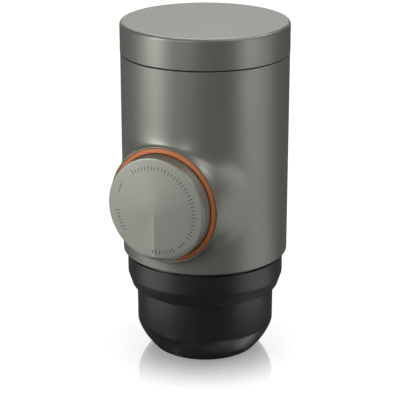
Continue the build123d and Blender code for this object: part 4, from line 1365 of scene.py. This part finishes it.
# ------------------------------------------------------------------ finishes of all pieces
class Finishes:
    """The finishes of the maker, by the record's material slots."""

    def __init__(self, pump_height: float) -> None:
        """Builds every finish once.

        Args:
            pump_height: height of the pump's axis in metres.
        """
        self.shell = SatinPaint("satin_paint_shell", "#8b8c84").material()
        self.lid = SatinPaint("satin_paint_lid", "#8b8c84").material()
        # The knob's paint is a little lighter and more metallic.
        self.knob = SatinPaint("satin_paint_knob", "#9a9b92", metallic=0.58).material()
        # Moulded acetal, dyed orange through and through, with a dull sheen.
        self.collar = MouldedPlastic("orange_acetal", "#d47a42", roughness=0.38).material()
        # Polypropylene with a fine satin texture, nearly black.
        black = MouldedPlastic("black_polypropylene", "#0a0a0b", roughness=0.37, specular=0.8)
        self.cup = black.material()
        # Glass-filled nylon from a spark-eroded tool: dull and slightly rough.
        nylon = MouldedPlastic("glass_filled_nylon", "#17171a", roughness=0.55, grain=0.5, depth=0.012)
        self.inner = nylon.material()
        # Silicone: soft, dusty black.
        silicone = MouldedPlastic("black_silicone", "#202022", roughness=0.68, specular=0.35)
        self.rubber = silicone.material()
        # Acetal as moulded: milky white with a waxy sheen.
        self.acetal = MouldedPlastic("white_acetal", "#dcdad2", roughness=0.36, depth=0.003).material()
        # Pad-printing ink, a shade darker than the paint under it.
        self.ink = MouldedPlastic("grey_ink", "#3c3d39", roughness=0.6).material()
        self.tank = SmokedCopolyester("smoked_copolyester").material()
        self.wire = DrawnSteel("bright_steel").material()
        self.steel = TurnedSteel("turned_steel").material()
        self.pump_steel = TurnedSteel("ground_steel", seat=Seat.PUMP, pump_height=pump_height).material()

    def for_node(self, node: str, slot: str) -> Material:
        """Chooses the finish of a CAD node.

        Args:
            node: name of the node.
            slot: the record's slot of the node.

        Returns:
            The finish.
        """
        plain = {
            "inner_black": self.inner,
            "tank_smoke": self.tank,
            "seal_rubber": self.rubber,
            "plunger_white": self.acetal,
        }
        if slot in plain:
            return plain[slot]
        if node == "pump_cylinder":
            return self.pump_steel
        if node in ("filter_basket", "shower_screen"):
            return self.steel
        return self.wire


def dress_frame(frame: dict, finishes: Finishes) -> None:
    """Gives every CAD node that still shows its finish.

    Args:
        frame: what the frame's load gave.
        finishes: the finishes.
    """
    for row in frame["record"]["subparts"]:
        node = frame["nodes"][row["node"]]
        if node.hide_render:
            continue
        finish = finishes.for_node(row["node"], row["material_slot"])
        node.data.materials.clear()
        node.data.materials.append(finish)
        LOG.info("%s: CAD node, %s", row["node"], finish.name)


# ------------------------------------------------------------------ studio
@dataclass(frozen=True)
class SoftBox:
    """A soft box that faces the maker. Sizes in metres, the turn in degrees from the camera."""

    name: str
    turn: float
    distance: float
    height: float
    size: tuple[float, float]
    power: float                # watts


@dataclass
class Studio:
    """White glossy floor, soft boxes and the camera. Sizes in metres."""

    boxes: tuple[SoftBox, ...] = (
        SoftBox("left_box", -65.0, 0.9, 0.28, (0.24, 0.8), 4.0),
        SoftBox("front_left_box", -24.0, 0.9, 0.28, (0.24, 0.8), 1.4),
        SoftBox("low_left_box", -72.0, 0.5, 0.12, (0.2, 0.26), 0.2),
        SoftBox("low_right_box", 57.0, 0.5, 0.12, (0.2, 0.26), 0.24),
        SoftBox("front_right_box", 50.0, 0.65, 0.75, (0.4, 0.4), 1.2),
        SoftBox("right_box", 100.0, 0.65, 0.75, (0.4, 0.4), 2.0),
        SoftBox("back_box", 180.0, 0.65, 0.75, (0.4, 0.4), 2.8),
        SoftBox("top_box", 180.0, 0.02, 1.0, (0.7, 0.7), 1.3),
    )
    camera_place: Place = (0.2855, -0.5485, 0.2784)
    target: Place = (0.0, 0.0, 0.0636)
    lens: float = 140.94
    sensor: float = 36.0
    shift: float = -0.01275
    floor_size: float = 8.0
    floor_grey: float = 0.18    # how much light the floor throws back
    floor_lift: float = 0.94    # what it needs to look white to the camera beside the maker
    lift_from: float = 0.2      # distances between which that rises to full white
    lift_to: float = 0.6
    glow_level: float = 0.9     # how much of its white a gloss sees
    glow_near: float = 0.05     # distances between which a gloss starts to see it white
    glow_far: float = 0.10
    glow_front: tuple[float, float] = (0.88, 0.48)  # cosines of the turn from the camera, and the
    glow_back: tuple[float, float] = (-0.30, 0.08)  # same behind, between which the sides turn white
    shine: float = 0.72         # floor's mirror share beside the cup's foot
    shine_near: float = 0.015   # distances from the main axis between which it dies out
    shine_far: float = 0.056
    shine_rough: float = 0.03
    backdrop: tuple[float, float] = (0.80, 0.95)    # cosines of the turn from behind the maker
    ambient: float = 0.1        # level of the surroundings

    def camera_angle(self) -> float:
        """Gives the camera's direction from the front in radians."""
        return math.atan2(self.camera_place[0], -self.camera_place[1])

    def build(self) -> None:
        """Sets up floor, world, lamps and camera."""
        self.add_floor()
        self.light_world()
        for box in self.boxes:
            self.add_lamp(box)
        self.add_camera()
        bpy.context.scene.view_settings.view_transform = "Standard"

    def add_lamp(self, box: SoftBox) -> None:
        """Adds a soft box, aimed at the maker's middle and unseen by the camera.

        Args:
            box: its place, size and power.
        """
        light = bpy.data.lights.new(box.name, "AREA")
        light.shape = "RECTANGLE"
        light.size, light.size_y = box.size
        light.energy = box.power
        turn = self.camera_angle() + math.radians(box.turn)
        place = (box.distance * math.sin(turn), -box.distance * math.cos(turn), box.height)
        lamp = self.aimed(light, place)
        lamp.visible_camera = False

    def add_camera(self) -> None:
        """Adds the camera and makes it the scene's."""
        data = bpy.data.cameras.new("camera")
        data.lens, data.sensor_width, data.shift_x = self.lens, self.sensor, self.shift
        bpy.context.scene.camera = self.aimed(data, self.camera_place)

    def aimed(self, data: bpy.types.ID, place: Place) -> Object:
        """Adds an object for a lamp's or a camera's data.

        Args:
            data: the lamp or camera.
            place: where it stands.

        Returns:
            The new object, turned towards the maker's middle.
        """
        piece = bpy.data.objects.new(data.name, data)
        piece.location = place
        aim = Vector(self.target) - piece.location
        piece.rotation_euler = aim.to_track_quat("-Z", "Y").to_euler()
        bpy.context.scene.collection.objects.link(piece)
        return piece

    @staticmethod
    def ramp(start: float, end: float, before: float = 0.0, after: float = 1.0) -> dict:
        """Gives the settings of a soft change from one level to another.

        Args:
            start: number where the change starts. It may be the higher one.
            end: number where the change ends.
            before: level on the start's side.
            after: level on the end's side.

        Returns:
            The settings.
        """
        if start > end:
            start, end, before, after = end, start, after, before
        return {"interpolation_type": "SMOOTHSTEP", 1: start, 2: end, 3: before, 4: after}

    @staticmethod
    def white_rays(tree: Tree, gloss: Socket) -> Socket:
        """Gives 1 for rays from the camera or through clear plastic, and a share for a gloss.

        Args:
            tree: the tree to add the nodes to.
            gloss: how white the place is to a ray off a glossy surface.

        Returns:
            How white the place is to the ray.
        """
        path = add_node(tree, "ShaderNodeLightPath", {}).outputs
        both = {0: gloss, 1: path["Is Glossy Ray"]}
        mirrored = add_node(tree, "ShaderNodeMath", {"operation": "MULTIPLY"}, both).outputs["Value"]
        either = {0: path["Is Camera Ray"], 1: path["Is Transmission Ray"]}
        straight = add_node(tree, "ShaderNodeMath", {"operation": "MAXIMUM"}, either).outputs["Value"]
        either = {0: mirrored, 1: straight}
        return add_node(tree, "ShaderNodeMath", {"operation": "MAXIMUM"}, either).outputs["Value"]

    def light_world(self) -> None:
        """Lights the surroundings: a white backdrop behind the maker, dim grey all round."""
        world = bpy.data.worlds.new("studio")
        bpy.context.scene.world = world
        world.use_nodes = True
        tree = world.node_tree
        tree.nodes.clear()
        place = add_node(tree, "ShaderNodeTexCoord", {}).outputs["Generated"]
        turn = self.camera_angle()
        away = {"operation": "DOT_PRODUCT", 1: (-math.sin(turn), math.cos(turn), 0)}
        behind = add_node(tree, "ShaderNodeVectorMath", away, {0: place}).outputs["Value"]
        backdrop = add_node(tree, "ShaderNodeMapRange", self.ramp(*self.backdrop), {"Value": behind})
        white = self.white_rays(tree, backdrop.outputs["Result"])
        least = {"operation": "MAXIMUM", 1: self.ambient}
        strength = add_node(tree, "ShaderNodeMath", least, {0: white}).outputs["Value"]
        colour = {"Color": (1, 1, 1, 1)}
        background = add_node(tree, "ShaderNodeBackground", colour, {"Strength": strength})
        add_node(tree, "ShaderNodeOutputWorld", {}, {"Surface": background.outputs["Background"]})

    def white_sides(self, tree: Tree, place: Socket, distance: Socket) -> Socket:
        """Gives how white a gloss sees the floor: white to both sides, grey in front and close by.

        Args:
            tree: the floor's tree.
            place: the floor's object coordinates.
            distance: distance from the main axis.

        Returns:
            The share, 0 to 1.
        """
        turn = self.camera_angle()
        direction = add_node(tree, "ShaderNodeVectorMath", {"operation": "NORMALIZE"}, {0: place})
        towards = {"operation": "DOT_PRODUCT", 1: (math.sin(turn), -math.cos(turn), 0)}
        forward = add_node(tree, "ShaderNodeVectorMath", towards, {0: direction.outputs["Vector"]})
        edges = (
            (self.glow_front, forward.outputs["Value"]),
            (self.glow_back, forward.outputs["Value"]),
            ((self.glow_near, self.glow_far), distance),
        )
        shares = [
            add_node(tree, "ShaderNodeMapRange", self.ramp(*ends), {"Value": value}).outputs["Result"]
            for ends, value in edges
        ]
        share = shares[0]
        for other in shares[1:]:
            both = {0: share, 1: other}
            share = add_node(tree, "ShaderNodeMath", {"operation": "MULTIPLY"}, both).outputs["Value"]
        level = {"operation": "MULTIPLY", 1: self.glow_level}
        return add_node(tree, "ShaderNodeMath", level, {0: share}).outputs["Value"]

    def add_floor(self) -> None:
        """Adds the floor, white with a mirror-like sheen close to the cup."""
        bpy.ops.object.select_all(action="DESELECT")
        bpy.ops.mesh.primitive_plane_add(size=self.floor_size)
        floor = bpy.context.object
        floor.name = "floor"
        # White acrylic sheet, polished: white in itself, with a clear image of the cup beside its foot.
        material, tree, place = new_material("white_acrylic")
        tree.nodes.remove(tree.nodes["Principled BSDF"])
        length = {"operation": "LENGTH"}
        distance = add_node(tree, "ShaderNodeVectorMath", length, {0: place}).outputs["Value"]
        fade = self.ramp(self.shine_near, self.shine_far, self.shine, 0.0)
        share = add_node(tree, "ShaderNodeMapRange", fade, {"Value": distance}).outputs["Result"]
        rise = self.ramp(self.lift_from, self.lift_to, self.floor_lift)
        level = add_node(tree, "ShaderNodeMapRange", rise, {"Value": distance}).outputs["Result"]
        sides = self.white_sides(tree, place, distance)
        both = {0: self.white_rays(tree, sides), 1: level}
        lift = add_node(tree, "ShaderNodeMath", {"operation": "MULTIPLY"}, both).outputs["Value"]
        grey = {"Color": (self.floor_grey, self.floor_grey, self.floor_grey, 1)}
        polish = {"Color": (1, 1, 1, 1), "Roughness": self.shine_rough}
        sheet = add_node(tree, "ShaderNodeBsdfDiffuse", grey).outputs["BSDF"]
        glow = add_node(tree, "ShaderNodeEmission", {}, {"Strength": lift}).outputs["Emission"]
        mirror = add_node(tree, "ShaderNodeBsdfAnisotropic", polish).outputs["BSDF"]
        matte = add_node(tree, "ShaderNodeAddShader", {}, {0: sheet, 1: glow}).outputs["Shader"]
        surface = add_node(tree, "ShaderNodeMixShader", {}, {0: share, 1: matte, 2: mirror})
        set_node(tree, tree.nodes["Material Output"], {}, {"Surface": surface.outputs["Shader"]})
        floor.data.materials.append(material)


def main() -> None:
    """Builds the maker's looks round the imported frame, in order from the shell to the studio."""
    logging.basicConfig(level=logging.INFO, format="%(name)s: %(message)s")
    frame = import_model()
    pump_height = next(joint["pos_m"][2] for joint in frame["joints"] if joint["name"] == "knob_turn")
    finishes = Finishes(pump_height)
    knob = Knob()
    Barrel(axis=pump_height / MM).build(finishes.shell)
    Lid().build(finishes.lid)
    knob.build(finishes.knob, pump_height)
    KnobMarks(knob).build(finishes.ink, pump_height)
    Collar().build(finishes.collar, pump_height)
    Cup().build(finishes.cup)
    springs = (
        CoilSpring("return_spring", Seat.PUMP, Body.PLUNGER, radius=10.3, wire=1.0, turns=5.5),
        CoilSpring("outlet_valve_spring", Seat.MAIN, Body.BALL, radius=1.7, wire=0.4, turns=4.5),
    )
    for spring in springs:
        spring.build(finishes.wire, pump_height)
    dress_frame(frame, finishes)
    Studio().build()


if __name__ == "__main__":
    main()
